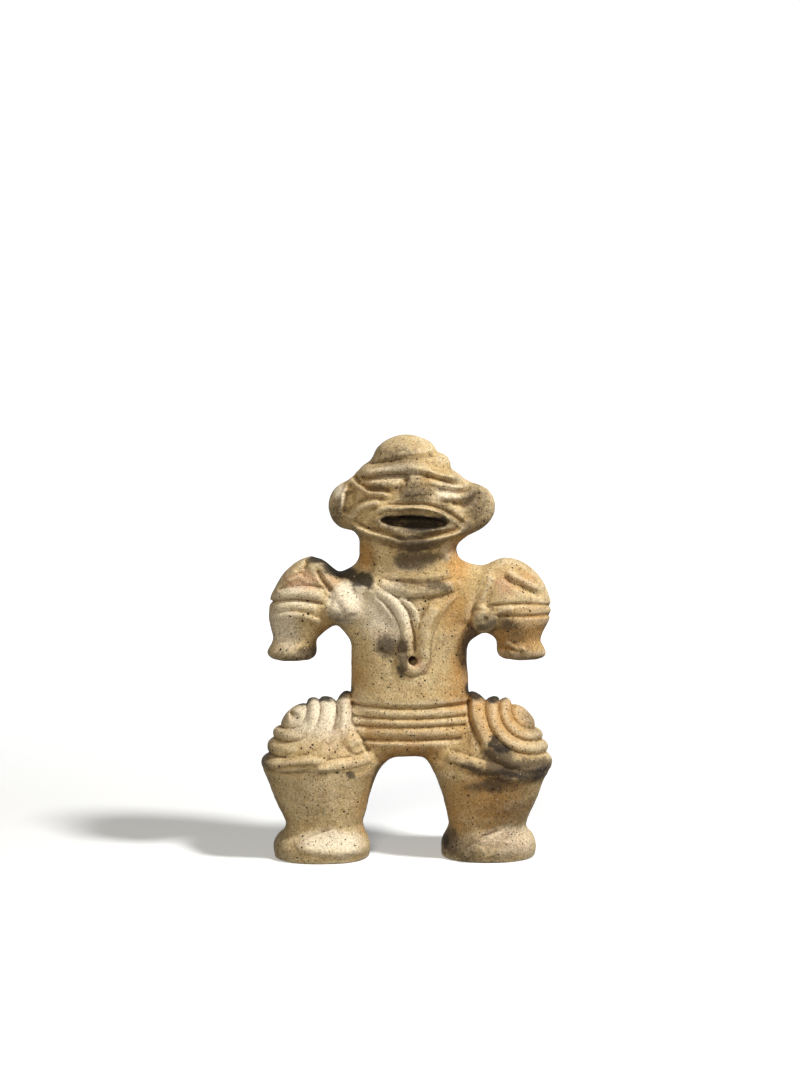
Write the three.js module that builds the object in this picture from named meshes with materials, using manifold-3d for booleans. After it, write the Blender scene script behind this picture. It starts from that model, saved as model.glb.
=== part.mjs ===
// Dogu figurine: a stylised standing figure of low-fired clay, built up, pinched and incised as one
// piece. Units are millimetres: +X to the viewer's right, -Y the front, +Z up. The origin is under the
// middle of the figure, on the surface that it stands on.
//
// The figure is described the way that a potter makes it. Clay masses are rounded forms that run into
// each other, and every roll, belt and groove is worked into their surface. All of it is one distance
// function, negative inside the clay, and a mesh is drawn over the place where it is zero.
import * as THREE from 'three';
import Module from 'manifold-3d';

// Overall sizes
const HEIGHT = 170;
const REACH = { left: -62, right: 62, front: -26, back: 24 };
const BODY_MIDDLE = 1.2;
const HEAD_MIDDLE = 2;
const LEG_SPREAD = 34.2;
const ARM_SPREAD = 45;
const WAIST_HALF_WIDTH = 23.2;
const WAIST_HALF_DEPTH = 13.3;

// Stacked sections, from low to high: height, distance of the middle from the axis of the part,
// half width, y of the middle, half depth
const TRUNK_ROWS = [
  [41.2, 0, 22, 0.2, 14.6],
  [50, 0, 23.4, 0.6, 16.6],
  [62, 0, 23.6, 0, 15.6],
  [70, 0.2, 23.4, -0.3, 14],
  [78, 0, WAIST_HALF_WIDTH, -0.5, WAIST_HALF_DEPTH],
  [86, 0.3, 23.6, -0.5, WAIST_HALF_DEPTH],
  [92, 0.6, 26.4, -0.4, 13.4],
  [103, 0.4, 28, 0, 13.2],
  [111, 0, 25, 0.5, 12.8],
  [117, 0, 20.8, 0.6, 12.6],
  [121, -0.4, 19.6, 0.6, 12.6],
  [126, -0.2, 19.6, 0.4, 12.8],
  [131, 1.6, 21.4, 0, 13.6],
  [136, 1, 24, 0, 14.6],
];
const HEAD_ROWS = [
  [127, 0, 17.5, 0, 11.5],
  [132, 1.8, 23.8, -0.2, 14.2],
  [138, 0.8, 27.2, 0, 15.2],
  [146, -0.8, 26, 0.4, 15],
  [150.5, -1.2, 24.2, 0.6, 14.4],
  [153.5, -1.8, 21.4, 0.7, 13.8],
  [156.4, -2.2, 18, 0.8, 13],
  [159.6, -1.4, 14.8, 0.9, 12],
  [163, -1.2, 12, 1, 10.6],
];
const LEG_ROWS = [
  [-4, -0.2, 18.2, -2.4, 17.6],
  [0.8, -0.2, 19, -2.4, 18.6],
  [4.4, -0.1, 19.2, -2.4, 18.6],
  [7.6, -0.3, 18.2, -2.2, 17],
  [10.2, -1, 16.4, -2, 15.2],
  [13.2, -1.1, 15.5, -1.8, 14.7],
  [17, -0.8, 16.6, -1.6, 15.6],
  [23.5, 0, 19, -1.4, 17.2],
  [30, 0.2, 21.1, -1.2, 18.6],
  [35.5, 0.8, 22.4, -1, 19.4],
  [46, 0.8, 21.4, -1, 19],
];
const ARM_ROWS = [
  [79.8, 1, 9.6, -0.6, 9.2],
  [81.5, 1.2, 10, -0.6, 9.4],
  [83.5, 0.9, 9.8, -0.6, 9.2],
  [87.5, -0.3, 9, -0.4, 8.8],
  [91, -1.6, 10.8, 0, 10],
  [96, -3.4, 13.8, 0.2, 11.4],
  [103, -4.4, 14.2, 0.4, 11.8],
  [109, -5.4, 12.8, 0.6, 11.2],
  [114, -6.4, 10.6, 0.8, 9.8],
  [117.4, -6.8, 7.4, 1, 7.6],
  [120.6, -6.8, 3.6, 1, 4.6],
];
const SQUARENESS = 2.3;

// What differs between the two sides, as the figure is only roughly symmetrical. Distances are outward,
// and stride is how far back the foot stands.
const SIDES = [
  { sign: -1, leg: 0, foot: 0, thigh: -1, arm: 0, lean: 0, armGirth: 1, stride: -0.9 },
  { sign: 1, leg: -0.4, foot: -0.6, thigh: 0.4, arm: 0.3, lean: 1.9, armGirth: 1.09, stride: 1.8 },
];
// The heights between which the foot ends, the crotch turns into the hip, the upper arm swells and
// the arm begins to lean
const FOOT_ENDS = [4, 16];
const CROTCH_ENDS = [38, 46];
const ARM_SWELLS = [86, 98];
const ARM_LEANS = [90, 112];

// How widely the clay masses are rounded at their ends, and blended where they meet
const CROTCH_EDGE = 7;
const CUFF_EDGE = 4;
const CHIN_EDGE = 4;
const FOOT_EDGE = 0.5;
const HIP_BLEND = 7;
const CROTCH_BLEND = 14;
const SHOULDER_BLEND = 6;
const ARM_BLEND = 3;
const NECK_BLEND = 3;
const HAIR_BLEND = 1.5;
const EAR_BLEND = 3;
const EAR_CURVE = 2.1;
const KNOB_BLEND = 1.6;

// The thigh pad is a dome over the leg, which takes over gently from the leg's own sections.
const THIGH = { x: 1, y: -1, z: 36, halfWidth: 21.4, halfDepth: 19.2, halfHeight: 26.5, curve: 1.8 };
const THIGH_BEGINS = [34, 42];
const SHOULDER_BAR = { y: 0.6, z: 104.6, halfLength: 47, halfDepth: 10.5, halfHeight: 12, curve: 3 };
const SHOULDER_LIFT = 0.06;
const HAIR_KNOT = { x: 0, y: 0.6, z: 159.6, halfWidth: 13.2, halfDepth: 12.4, halfHeight: 10.2 };
const HAIR_SIDE_KNOT = { x: 12.5, y: -1, z: 158.4, halfWidth: 4.9, halfDepth: 8, halfHeight: 4.6 };
const EARS = [
  { x: -23.2, y: 0.4, z: 141.4, halfWidth: 8, halfDepth: 7.4, halfHeight: 9.2 },
  { x: 26.2, y: 0.4, z: 141, halfWidth: 9, halfDepth: 7.6, halfHeight: 9.4 },
];
const KNOBS = [
  { x: 31, y: -10, z: 96.6, halfWidth: 5.2, halfDepth: 5.4, halfHeight: 5.2 },
  { x: -24.8, y: -8.6, z: 99.8, halfWidth: 4.8, halfDepth: 4.6, halfHeight: 4.6 },
];

// The open mouth: a sloping hollow with a deeper slit along its floor, both a little tilted
const MOUTH_TILT = -0.05;
const MOUTH_BOWL = { x: 4.4, y: -18.6, z: 137.8, halfWidth: 15.8, halfDepth: 5.6, halfHeight: 4.5 };
const MOUTH_SLIT = { x: 2.8, y: -17, z: 136.2, halfWidth: 13.4, halfDepth: 9, halfHeight: 2.1 };
const MOUTH_EDGE = 0.6;

// Carving is laid out as it is seen from in front and a little above, at this depth before the axis.
const LAYOUT_DEPTH = 15;
const EYE_HEIGHT = 255;
const EYE_DISTANCE = 1193;
// The strokes of the front fade out from the first y to the second, on the way to the back, and where
// the clay turns to face the ground: these are the downward shares of its facing.
const FRONT_FADES = [-4, 3];
const UNDERSIDE_FADES = [0.4, 0.8];

// Belts: four grooves round the hips, which sag in the middle, with flat rolls between them
const BELT_GROOVES = [61.4, 57.3, 53.8, 49.2];
const BELT_SAG = 2.2;
const BELT_SAG_STEP = 0.45;
const BELT_RELIEF = 1.7;
const BELT_HALF_LENGTH = 23;
const BELT_END = 1;
const BELT_SHADOW = 2;

// Thigh pads: rolls round a pole. Each groove is given by its distance from the pole, and one
// direction from it can be worn smooth.
const THIGH_RINGS = [
  { pole: [-47, 61], grooves: [7.3, 12.8, 19, 25.4], worn: -0.85, wear: 0.5 },
  { pole: [50, 61.5], grooves: [7.8, 12.8, 18.3, 25.4], worn: -2.3, wear: 0 },
];
const RING_RELIEF = 2;
const RING_TOP = 69;
const RING_CAP = 0.6;
const WEAR_SPREADS = [0.15, 0.75];
// How much of a ring's height is left at the back, and the y between which it gets lower
const RING_BACK = 0.45;
const RING_FADES = [2, 10];

// Grooves that run round the sleeves, with the height at the middle of the arm
const SLEEVE_GROOVES = [
  { side: -1, height: 105.4, droop: 1.2, depth: 1.5 },
  { side: -1, height: 99.6, droop: 1.4, depth: 0.8 },
  { side: 1, height: 103.7, droop: 0.4, depth: 1.4 },
  { side: 1, height: 98.8, droop: -0.4, depth: 1.1 },
];
const SLEEVE_GROOVE_HALF_WIDTH = 2;
const SLEEVE_BEGINS = [-14, -8];
const SLEEVE_SCALE = 10;

// Strokes. A line is the path of a swelling, a roll or a groove, given by the few points that its
// shape needs, as x and z seen from the front.
const SWELLINGS = [
  { line: [[-19, 155.5], [-12.5, 157], [2, 158], [16, 155], [23, 151.5]], halfWidth: 3.4, size: 2.3 },
  { line: [[-15, 152], [-9.5, 151.6], [-2.5, 151.6]], halfWidth: 2.4, size: 1.6 },
  { line: [[-22, 152.5], [-18, 149.8], [-14, 147.6], [-7, 146.8]], halfWidth: 2.2, size: 1.3 },
  { line: [[8.5, 152.5], [13.5, 151.5], [23, 150.4]], halfWidth: 2, size: 1.1 },
  { line: [[13, 146.5], [22.5, 146.5], [26, 148], [27.5, 150]], halfWidth: 2.2, size: 1.5 },
  { line: [[5, 154], [5, 146.5]], halfWidth: 6.4, size: 1.8 },
  { line: [[-23, 137], [-21, 140], [-18, 142.3], [-10.5, 144]], halfWidth: 2.6, size: 1.5 },
  { line: [[-22.5, 135.5], [-11.5, 131], [1, 128], [13.5, 129.5], [24, 135.5]], halfWidth: 3.1, size: 2.6 },
  { line: [[-37, 120.5], [-30.6, 115.6], [-25.8, 109.2], [-23.4, 102.4]], halfWidth: 5.6, size: 2.5 },
  { line: [[-52.4, 107.4], [-42.4, 108.4], [-32.8, 107]], halfWidth: 3.4, size: 1.3 },
  { line: [[-43.6, 117], [-47.6, 113]], halfWidth: 3.4, size: 1 },
  { line: [[33.8, 116], [30.8, 108.4], [29.4, 101.2]], halfWidth: 4.2, size: 2.1 },
  { line: [[39.6, 116.6], [46.4, 113.6], [52.6, 109.6]], halfWidth: 2.8, size: 1.4 },
  { line: [[-42.4, 4.8], [-30.4, 6.4], [-18.4, 8.6]], halfWidth: 4.8, size: 1.5 },
  { line: [[29.6, 5.2], [40.8, 7.2], [48.8, 8.8]], halfWidth: 5, size: 1.6 },
];
const ROLLS = [
  { line: [[-12.5, 139.5], [-9, 141.8], [7, 142], [13, 140.2], [21.5, 135]], halfWidth: 1.9, size: 1.3 },
  { line: [[-12.5, 137.5], [-4, 132.7], [0.5, 131.5], [6, 132.5], [20, 135.5]], halfWidth: 2.6, size: 1.7 },
  { line: [[-11.6, 111.6], [-3.6, 109.6], [3.6, 109], [12.2, 109.6], [19.8, 112]], halfWidth: 3.3, size: 2 },
  { line: [[-16.6, 111.6], [-7.4, 106.4], [-2.2, 99.8], [0, 92.4], [-0.4, 84.4]], halfWidth: 3.1, size: 2 },
  { line: [[-2, 84.6], [-1.6, 79.8], [2, 77], [5.8, 78.2], [7, 83.4]], halfWidth: 2.7, size: 2 },
  { line: [[14, 106], [8.4, 96], [6.6, 88], [6.8, 80]], halfWidth: 3, size: 1.6 },
  { line: [[-57, 38.2], [-48.6, 40.4], [-36, 39.2], [-25, 40.4], [-14.6, 42.6]], halfWidth: 2.9, size: 1.8 },
  { line: [[15, 43.2], [24.8, 40.4], [35, 37], [43, 34.8], [56.6, 37.4]], halfWidth: 2.9, size: 1.8 },
  { line: [[-25.6, 66], [-25.2, 60.4], [-22.6, 52.4], [-17, 44.2]], halfWidth: 3.8, size: 2.1 },
];
const GROOVES = [
  { line: [[-15.5, 159.5], [-12, 159.3], [-1.5, 161.4], [11.5, 163.7]], halfWidth: 1.8, size: 1.2 },
  { line: [[-20.5, 154.4], [-14, 154], [-2, 155], [-0.6, 152]], halfWidth: 1.6, size: 1.7 },
  { line: [[-18, 152], [-14, 149.8], [-6.5, 148.4]], halfWidth: 1.5, size: 1.2 },
  { line: [[7, 155.5], [11.5, 154], [16, 152.7], [21.5, 151.7]], halfWidth: 1.6, size: 1.3 },
  { line: [[12, 149], [20, 148.6], [24, 149], [27, 150.5]], halfWidth: 1.5, size: 1.1 },
  { line: [[18, 144.5], [23, 143], [26.4, 145.4], [27.5, 150]], halfWidth: 1.6, size: 1.3 },
  { line: [[-6, 143.6], [2.5, 143.9], [9.5, 143.3], [16, 140.9], [23, 136]], halfWidth: 1.6, size: 1.4 },
  { line: [[-24, 139.5], [-18, 144.8], [-13.5, 146], [-8, 145.8]], halfWidth: 1.7, size: 1.1 },
  { line: [[-20, 136], [-15.5, 133.8], [-5, 130.8], [-1, 129.2]], halfWidth: 1.6, size: 1.2 },
  { line: [[5.5, 130.2], [11.5, 131.3], [21, 134.5]], halfWidth: 1.6, size: 1.2 },
  { line: [[-23, 149], [-22.5, 144.5], [-24, 139.5]], halfWidth: 2.8, size: 2 },
  { line: [[-36.8, 117.4], [-32.8, 113.6], [-29.8, 109.4]], halfWidth: 1.9, size: 2.2 },
  { line: [[39.6, 115], [42.8, 112], [46.6, 108.8]], halfWidth: 1.6, size: 1 },
  { line: [[45, 118], [49.4, 115], [54, 112.2]], halfWidth: 1.6, size: 1 },
  { line: [[-21.8, 63], [-20.2, 56], [-15, 45.4]], halfWidth: 1.8, size: 1.7 },
  { line: [[25.2, 66], [25.6, 57], [30, 46.4]], halfWidth: 1.7, size: 1.6 },
];
// Round pits; the first is the pierced hole in the pendant.
const PITS = [
  { x: 2.5, z: 81, radius: 2, depth: 3.6 },
  { x: -10, z: 85.6, radius: 1.3, depth: 1.3 },
];
const ROLL_CURVE = 1.3;
const STEPS_A_POINT = 6;

// How finely the figure is drawn, and how many faces are left
const CELL = 1;
const MARGIN = 4;
const MOST_FACES = 9600;
const SLOPE_BAND = 5;
const SLOPE_STEP = 0.05;
const LEAST_SLOPE = 0.6;
const EDGE_ROOM = 0.08;
const POLISH_STEPS = 3;
const LONGEST_POLISH = 0.25;
// A merge is refused where it would turn a face further than this, or make a thinner sliver.
const LEAST_TURN_COSINE = 0.35;
const THINNEST_FACE = 0.06;
// Planes that are flatter to each other than this don't settle a point.
const FLATTEST_MEETING = 1e-3;
const AGE_STEP = 1e4;

const { min, max, abs, hypot, atan2 } = Math;

function clamp01(value) {
  return min(1, max(0, value));
}

function smoothStep([from, to], value) {
  const t = clamp01((value - from) / (to - from));
  return t * t * (3 - 2 * t);
}

// Two clay masses pressed together, with a fillet of about the blend's size between them.
function join(a, b, blend) {
  const h = max(0, blend - abs(a - b)) / blend;
  return min(a, b) - h * h * blend / 4;
}

// The clay of a that lies outside b, with its new edge rounded.
function cutAway(a, b, blend) {
  return -join(-a, b, blend);
}

// The row of sizes at a height, on a smooth curve through the rows of a table.
function rowAt(rows, height) {
  const last = rows.length - 1;
  let i = 0;
  while (i < last - 1 && height > rows[i + 1][0]) i++;
  const from = rows[i];
  const to = rows[i + 1];
  const gap = to[0] - from[0];
  const t = clamp01((height - from[0]) / gap);
  const before = rows[max(0, i - 1)];
  const after = rows[min(last, i + 2)];
  const t2 = t * t;
  const t3 = t2 * t;
  const values = [];
  for (let k = 1; k < from.length; k++) {
    const slopeFrom = (to[k] - before[k]) / (to[0] - before[0]);
    const slopeTo = (after[k] - from[k]) / (after[0] - from[0]);
    values.push((2 * t3 - 3 * t2 + 1) * from[k] + (3 * t2 - 2 * t3) * to[k]
      + ((t3 - 2 * t2 + t) * slopeFrom + (t3 - t2) * slopeTo) * gap);
  }
  return values;
}

// Distance to a form of stacked, slightly squared ovals, with rounded edges at both ends.
function tower(x, y, z, rows, edge, girth = 1) {
  const [middleX, halfX, middleY, halfY] = rowAt(rows, z);
  const u = abs(x - middleX) / (halfX * girth);
  const v = abs(y - middleY) / (halfY * girth);
  const reach = (u ** SQUARENESS + v ** SQUARENESS) ** (1 / SQUARENESS);
  const sides = (reach - 1) * min(halfX, halfY) * girth;
  return cutAway(sides, min(z - rows[0][0], rows[rows.length - 1][0] - z), edge);
}

// Distance to a rounded mass. Its curve is 2 for an ellipsoid, and more for a squarer one.
function mass(x, y, z, form, curve = 2) {
  const u = (x - form.x) / form.halfWidth;
  const v = (y - form.y) / form.halfDepth;
  const w = abs(z - form.z) / form.halfHeight;
  const reach = (hypot(u, v) ** curve + w ** curve) ** (1 / curve);
  return (reach - 1) * min(form.halfWidth, form.halfDepth, form.halfHeight);
}

function leg(x, y, z, side) {
  const dome = smoothStep(THIGH_BEGINS, z);
  const foot = 1 - smoothStep(FOOT_ENDS, z);
  const across = x * side.sign - LEG_SPREAD - side.leg - side.foot * foot - side.thigh * dome;
  const along = y - side.stride * foot;
  const jar = tower(across, along, min(z, THIGH.z), LEG_ROWS, FOOT_EDGE);
  return (1 - dome) * jar + dome * mass(across, along, max(z, THIGH.z), THIGH, THIGH.curve);
}

function arm(x, y, z, side) {
  const across = x * side.sign - ARM_SPREAD - side.arm - side.lean * smoothStep(ARM_LEANS, z);
  const girth = 1 + (side.armGirth - 1) * smoothStep(ARM_SWELLS, z);
  return tower(across, y, z, ARM_ROWS, CUFF_EDGE, girth);
}

function trunk(x, y, z) {
  return tower(x - BODY_MIDDLE, y, z, TRUNK_ROWS, CROTCH_EDGE);
}

// A bar of clay across both shoulders. It is a little thicker at the viewer's right.
function shoulders(x, y, z) {
  const { halfLength, halfDepth, halfHeight, curve } = SHOULDER_BAR;
  const lift = (z > SHOULDER_BAR.z ? SHOULDER_LIFT : -SHOULDER_LIFT) * x;
  const u = abs(x - BODY_MIDDLE) / halfLength;
  const round = hypot((y - SHOULDER_BAR.y) / halfDepth, (z - SHOULDER_BAR.z - lift) / halfHeight);
  return ((u ** curve + round ** curve) ** (1 / curve) - 1) * halfDepth;
}

function head(x, y, z) {
  let clay = tower(x - HEAD_MIDDLE, y, z, HEAD_ROWS, CHIN_EDGE);
  for (const knot of [HAIR_KNOT, HAIR_SIDE_KNOT]) clay = join(clay, mass(x, y, z, knot), HAIR_BLEND);
  for (const ear of EARS) clay = join(clay, mass(x, y, z, ear, EAR_CURVE), EAR_BLEND);
  return clay;
}

// The plain clay, before any carving.
function body(x, y, z) {
  const hipBlend = CROTCH_BLEND + (HIP_BLEND - CROTCH_BLEND) * smoothStep(CROTCH_ENDS, z);
  let clay = join(trunk(x, y, z), shoulders(x, y, z), SHOULDER_BLEND);
  for (const side of SIDES) {
    clay = join(clay, arm(x, y, z, side), ARM_BLEND);
    clay = join(clay, leg(x, y, z, side), hipBlend);
  }
  clay = join(clay, head(x, y, z), NECK_BLEND);
  for (const knob of KNOBS) clay = join(clay, mass(x, y, z, knob), KNOB_BLEND);
  return clay;
}

// Adds to each stroke its path, as short straight steps on a smooth curve through its points.
function withSteps(strokes) {
  return strokes.map((stroke) => {
    const curve = new THREE.SplineCurve(stroke.line.map(([x, z]) => new THREE.Vector2(x, z)));
    return { ...stroke, steps: curve.getPoints(stroke.line.length * STEPS_A_POINT) };
  });
}

const swellings = withSteps(SWELLINGS);
const rolls = withSteps(ROLLS);
const grooves = withSteps(GROOVES);

function distanceToLine(x, z, steps) {
  let nearest = Infinity;
  for (let i = 1; i < steps.length; i++) {
    const { x: ax, y: az } = steps[i - 1];
    const bx = steps[i].x - ax;
    const bz = steps[i].y - az;
    const t = clamp01(((x - ax) * bx + (z - az) * bz) / (bx * bx + bz * bz));
    nearest = min(nearest, hypot(x - ax - t * bx, z - az - t * bz));
  }
  return nearest;
}

// Three outlines across a stroke: each is 1 along its middle and 0 from its edges outward.
function scooped(across) {
  return max(0, 1 - across * across);
}

function rounded(across) {
  return scooped(across) ** ROLL_CURVE;
}

function swollen(across) {
  return scooped(across) ** 2;
}

// The most that any of the strokes raises or lowers the surface.
function strokeRelief(x, z, strokes, outline) {
  return strokes.reduce((most, stroke) => {
    const across = distanceToLine(x, z, stroke.steps) / stroke.halfWidth;
    return max(most, stroke.size * outline(across));
  }, 0);
}

function beltRelief(x, z) {
  const bend = ((x - BODY_MIDDLE) / BELT_HALF_LENGTH) ** 2;
  const heights = BELT_GROOVES.map((height, i) => height + (BELT_SAG - BELT_SAG_STEP * i) * bend);
  const ends = [BELT_HALF_LENGTH - BELT_END, BELT_HALF_LENGTH + BELT_END];
  const relief = BELT_RELIEF * (1 - smoothStep(ends, abs(x - BODY_MIDDLE)));
  const last = heights.length - 1;
  if (z > heights[0] || z < heights[last]) {
    const away = max(z - heights[0], heights[last] - z);
    return -relief * (1 - smoothStep([0, BELT_SHADOW], away));
  }
  let i = 0;
  while (z < heights[i + 1]) i++;
  const across = 2 * (z - heights[i + 1]) / (heights[i] - heights[i + 1]) - 1;
  return relief * (scooped(across) - 1);
}

function ringRelief(x, y, z, rings) {
  const dx = x - rings.pole[0];
  const dz = z - rings.pole[1];
  const radius = hypot(dx, dz);
  if (radius > rings.grooves[rings.grooves.length - 1] || z > RING_TOP) return 0;
  let i = 0;
  while (radius > rings.grooves[i]) i++;
  const inner = i === 0 ? -rings.grooves[0] * RING_CAP : rings.grooves[i - 1];
  const across = 2 * (radius - inner) / (rings.grooves[i] - inner) - 1;
  const worn = rings.wear * (1 - smoothStep(WEAR_SPREADS, abs(atan2(dz, dx) - rings.worn)));
  const kept = 1 - (1 - RING_BACK) * smoothStep(RING_FADES, y);
  return RING_RELIEF * (1 - worn) * kept * scooped(across);
}

function sleeveRelief(x, z) {
  let depth = 0;
  for (const groove of SLEEVE_GROOVES) {
    const across = x * groove.side - ARM_SPREAD;
    const height = groove.height - groove.droop * (across / SLEEVE_SCALE) ** 2;
    const near = 1 - smoothStep([0, SLEEVE_GROOVE_HALF_WIDTH], abs(z - height));
    depth = max(depth, groove.depth * near * smoothStep(SLEEVE_BEGINS, across));
  }
  return -depth;
}

function pitDepth(x, z) {
  return PITS.reduce((most, pit) => {
    return max(most, pit.depth * scooped(hypot(x - pit.x, z - pit.z) / pit.radius));
  }, 0);
}

// How far the carving raises or lowers the surface at a point, where it faces the ground by a share.
function carving(x, y, trueZ, downward) {
  const z = trueZ + (LAYOUT_DEPTH - abs(y)) * (EYE_HEIGHT - trueZ) / EYE_DISTANCE;
  let relief = beltRelief(x, z) + sleeveRelief(x, z);
  for (const rings of THIGH_RINGS) relief += ringRelief(x, y, z, rings);
  const front = (1 - smoothStep(FRONT_FADES, y)) * (1 - smoothStep(UNDERSIDE_FADES, downward));
  if (front === 0) return relief;
  const raised = strokeRelief(x, z, rolls, rounded) + strokeRelief(x, z, swellings, swollen);
  const lowered = max(strokeRelief(x, z, grooves, scooped), pitDepth(x, z));
  return relief + front * (raised - lowered);
}

// Distance to the carved figure. The plain clay's value is divided by its own slope near the surface,
// so that the carving is as high and deep as its sizes say wherever it lies.
function figure(x, y, z) {
  const plain = body(x, y, z);
  if (abs(plain) > SLOPE_BAND) return plain;
  const rises = [
    body(x + SLOPE_STEP, y, z) - plain,
    body(x, y + SLOPE_STEP, z) - plain,
    body(x, y, z + SLOPE_STEP) - plain,
  ].map((value) => value / SLOPE_STEP);
  const slope = max(hypot(...rises), LEAST_SLOPE);
  const level = z - MOUTH_TILT * (x - MOUTH_BOWL.x);
  let clay = plain / slope - carving(x, y, z, -rises[2] / slope);
  for (const hollow of [MOUTH_BOWL, MOUTH_SLIT]) {
    clay = cutAway(clay, mass(x, y, level, hollow), MOUTH_EDGE);
  }
  return clay;
}

// The corners of the six tetrahedra that fill a cell, as steps along x, y and z from its lowest corner
const AXIS_ORDERS = [[0, 1, 2], [0, 2, 1], [1, 0, 2], [1, 2, 0], [2, 0, 1], [2, 1, 0]];

function cellTetrahedra(stride) {
  return AXIS_ORDERS.map((order) => {
    const corners = [0];
    for (const axis of order) corners.push(corners[corners.length - 1] + stride[axis]);
    const odd = (order[0] > order[1]) + (order[0] > order[2]) + (order[1] > order[2]);
    return odd % 2 ? [corners[0], corners[2], corners[1], corners[3]] : corners;
  });
}

// Draws triangles over the zero level of a distance function, inside a box.
function drawSurface(distance, low, high, cell) {
  const counts = low.map((from, axis) => Math.ceil((high[axis] - from) / cell) + 1);
  const stride = [1, counts[0], counts[0] * counts[1]];
  const values = new Float64Array(counts[0] * counts[1] * counts[2]);
  const place = (index) => [
    low[0] + cell * (index % counts[0]),
    low[1] + cell * (Math.floor(index / stride[1]) % counts[1]),
    low[2] + cell * Math.floor(index / stride[2]),
  ];
  for (let index = 0; index < values.length; index++) values[index] = distance(...place(index));
  const points = [];
  const faces = [];
  const crossings = new Map();
  const crossing = (a, b) => {
    const key = min(a, b) * values.length + max(a, b);
    if (!crossings.has(key)) {
      const t = min(1 - EDGE_ROOM, max(EDGE_ROOM, values[a] / (values[a] - values[b])));
      const from = place(a);
      const to = place(b);
      crossings.set(key, points.length);
      points.push(from.map((value, axis) => value + t * (to[axis] - value)));
    }
    return crossings.get(key);
  };
  const tetrahedra = cellTetrahedra(stride);
  for (let k = 0; k < counts[2] - 1; k++) {
    for (let j = 0; j < counts[1] - 1; j++) {
      for (let i = 0; i < counts[0] - 1; i++) {
        const corner = i + j * stride[1] + k * stride[2];
        for (const steps of tetrahedra) {
          drawTetrahedron(steps.map((step) => corner + step), values, crossing, faces);
        }
      }
    }
  }
  return { points, faces };
}

// The one or two triangles that part a tetrahedron's inner corners from its outer ones.
function drawTetrahedron(corners, values, crossing, faces) {
  const inner = corners.filter((corner) => values[corner] < 0);
  if (inner.length === 0 || inner.length === corners.length) return;
  const outer = corners.filter((corner) => values[corner] >= 0);
  const order = [...inner, ...outer];
  let swaps = 0;
  for (let a = 0; a < order.length; a++) {
    for (let b = a + 1; b < order.length; b++) {
      if (corners.indexOf(order[a]) > corners.indexOf(order[b])) swaps++;
    }
  }
  const [p, q, r, s] = order;
  const edges = [
    [[p, q], [p, r], [p, s]],
    [[p, s], [q, s], [q, r], [p, r]],
    [[p, s], [q, s], [r, s]],
  ][inner.length - 1];
  const loop = edges.map(([from, to]) => crossing(from, to));
  if (swaps % 2) loop.reverse();
  for (let i = 2; i < loop.length; i++) faces.push([loop[0], loop[i - 1], loop[i]]);
}

// Thins a mesh to a number of faces. It removes the edge that changes the surface least, again and
// again, and keeps the mesh closed, with no face turned over.
function thinOut(mesh, mostFaces) {
  const { points, faces } = mesh;
  const around = points.map(() => new Set());
  const alive = faces.map(() => true);
  const errors = points.map(() => new Float64Array(10));
  const age = new Uint32Array(points.length);
  faces.forEach((face, f) => {
    const plane = facePlane(face.map((v) => points[v]));
    for (const v of face) {
      around[v].add(f);
      addPlane(errors[v], plane);
    }
  });
  const queue = new EdgeQueue();
  const consider = (a, b) => {
    const total = errors[a].map((value, i) => value + errors[b][i]);
    const target = bestPoint(total, points[a], points[b]);
    queue.push({ cost: planeError(total, target), a, b, target, total, ages: age[a] + age[b] });
  };
  for (const face of faces) {
    face.forEach((a, i) => {
      const b = face[(i + 1) % face.length];
      if (a < b) consider(a, b);
    });
  }
  let count = faces.length;
  while (count > mostFaces && queue.size) {
    const { a, b, target, total, ages } = queue.pop();
    if (!around[a].size || !around[b].size || age[a] + age[b] !== ages) continue;
    const shared = [...around[a]].filter((f) => around[b].has(f));
    if (shared.length !== 2 || !canMerge(a, b, target, mesh, around)) continue;
    for (const f of shared) {
      alive[f] = false;
      for (const v of faces[f]) around[v].delete(f);
    }
    for (const f of around[b]) {
      faces[f] = faces[f].map((v) => (v === b ? a : v));
      around[a].add(f);
    }
    around[b].clear();
    points[a] = target;
    errors[a] = total;
    count -= 2;
    age[a] += AGE_STEP;
    for (const v of neighbours(a, faces, around)) consider(a, v);
  }
  return compact(points, faces.filter((face, f) => alive[f]));
}

function neighbours(v, faces, around) {
  const found = new Set();
  for (const f of around[v]) {
    for (const w of faces[f]) found.add(w);
  }
  found.delete(v);
  return found;
}

function canMerge(a, b, target, { points, faces }, around) {
  const nearA = neighbours(a, faces, around);
  const common = [...neighbours(b, faces, around)].filter((v) => nearA.has(v));
  if (common.length !== 2) return false;
  for (const [v, other] of [[a, b], [b, a]]) {
    for (const f of around[v]) {
      if (faces[f].includes(other)) continue;
      const before = faces[f].map((w) => points[w]);
      const after = faces[f].map((w) => (w === v ? target : points[w]));
      const was = faceNormal(before);
      const is = faceNormal(after);
      const area = hypot(...is);
      if (dot(was, is) < LEAST_TURN_COSINE * hypot(...was) * area) return false;
      const longest = max(...after.map((p, i) => hypot(...minus(p, after[(i + 1) % after.length]))));
      if (area < THINNEST_FACE * longest * longest) return false;
    }
  }
  return true;
}

function minus(a, b) {
  return [a[0] - b[0], a[1] - b[1], a[2] - b[2]];
}

function dot(a, b) {
  return a[0] * b[0] + a[1] * b[1] + a[2] * b[2];
}

function faceNormal([a, b, c]) {
  const [ux, uy, uz] = minus(b, a);
  const [vx, vy, vz] = minus(c, a);
  return [uy * vz - uz * vy, uz * vx - ux * vz, ux * vy - uy * vx];
}

function facePlane(corners) {
  const normal = faceNormal(corners);
  const area = hypot(...normal) || Number.EPSILON;
  const unit = normal.map((value) => value / area);
  return { unit, offset: -dot(unit, corners[0]), weight: area };
}

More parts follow.
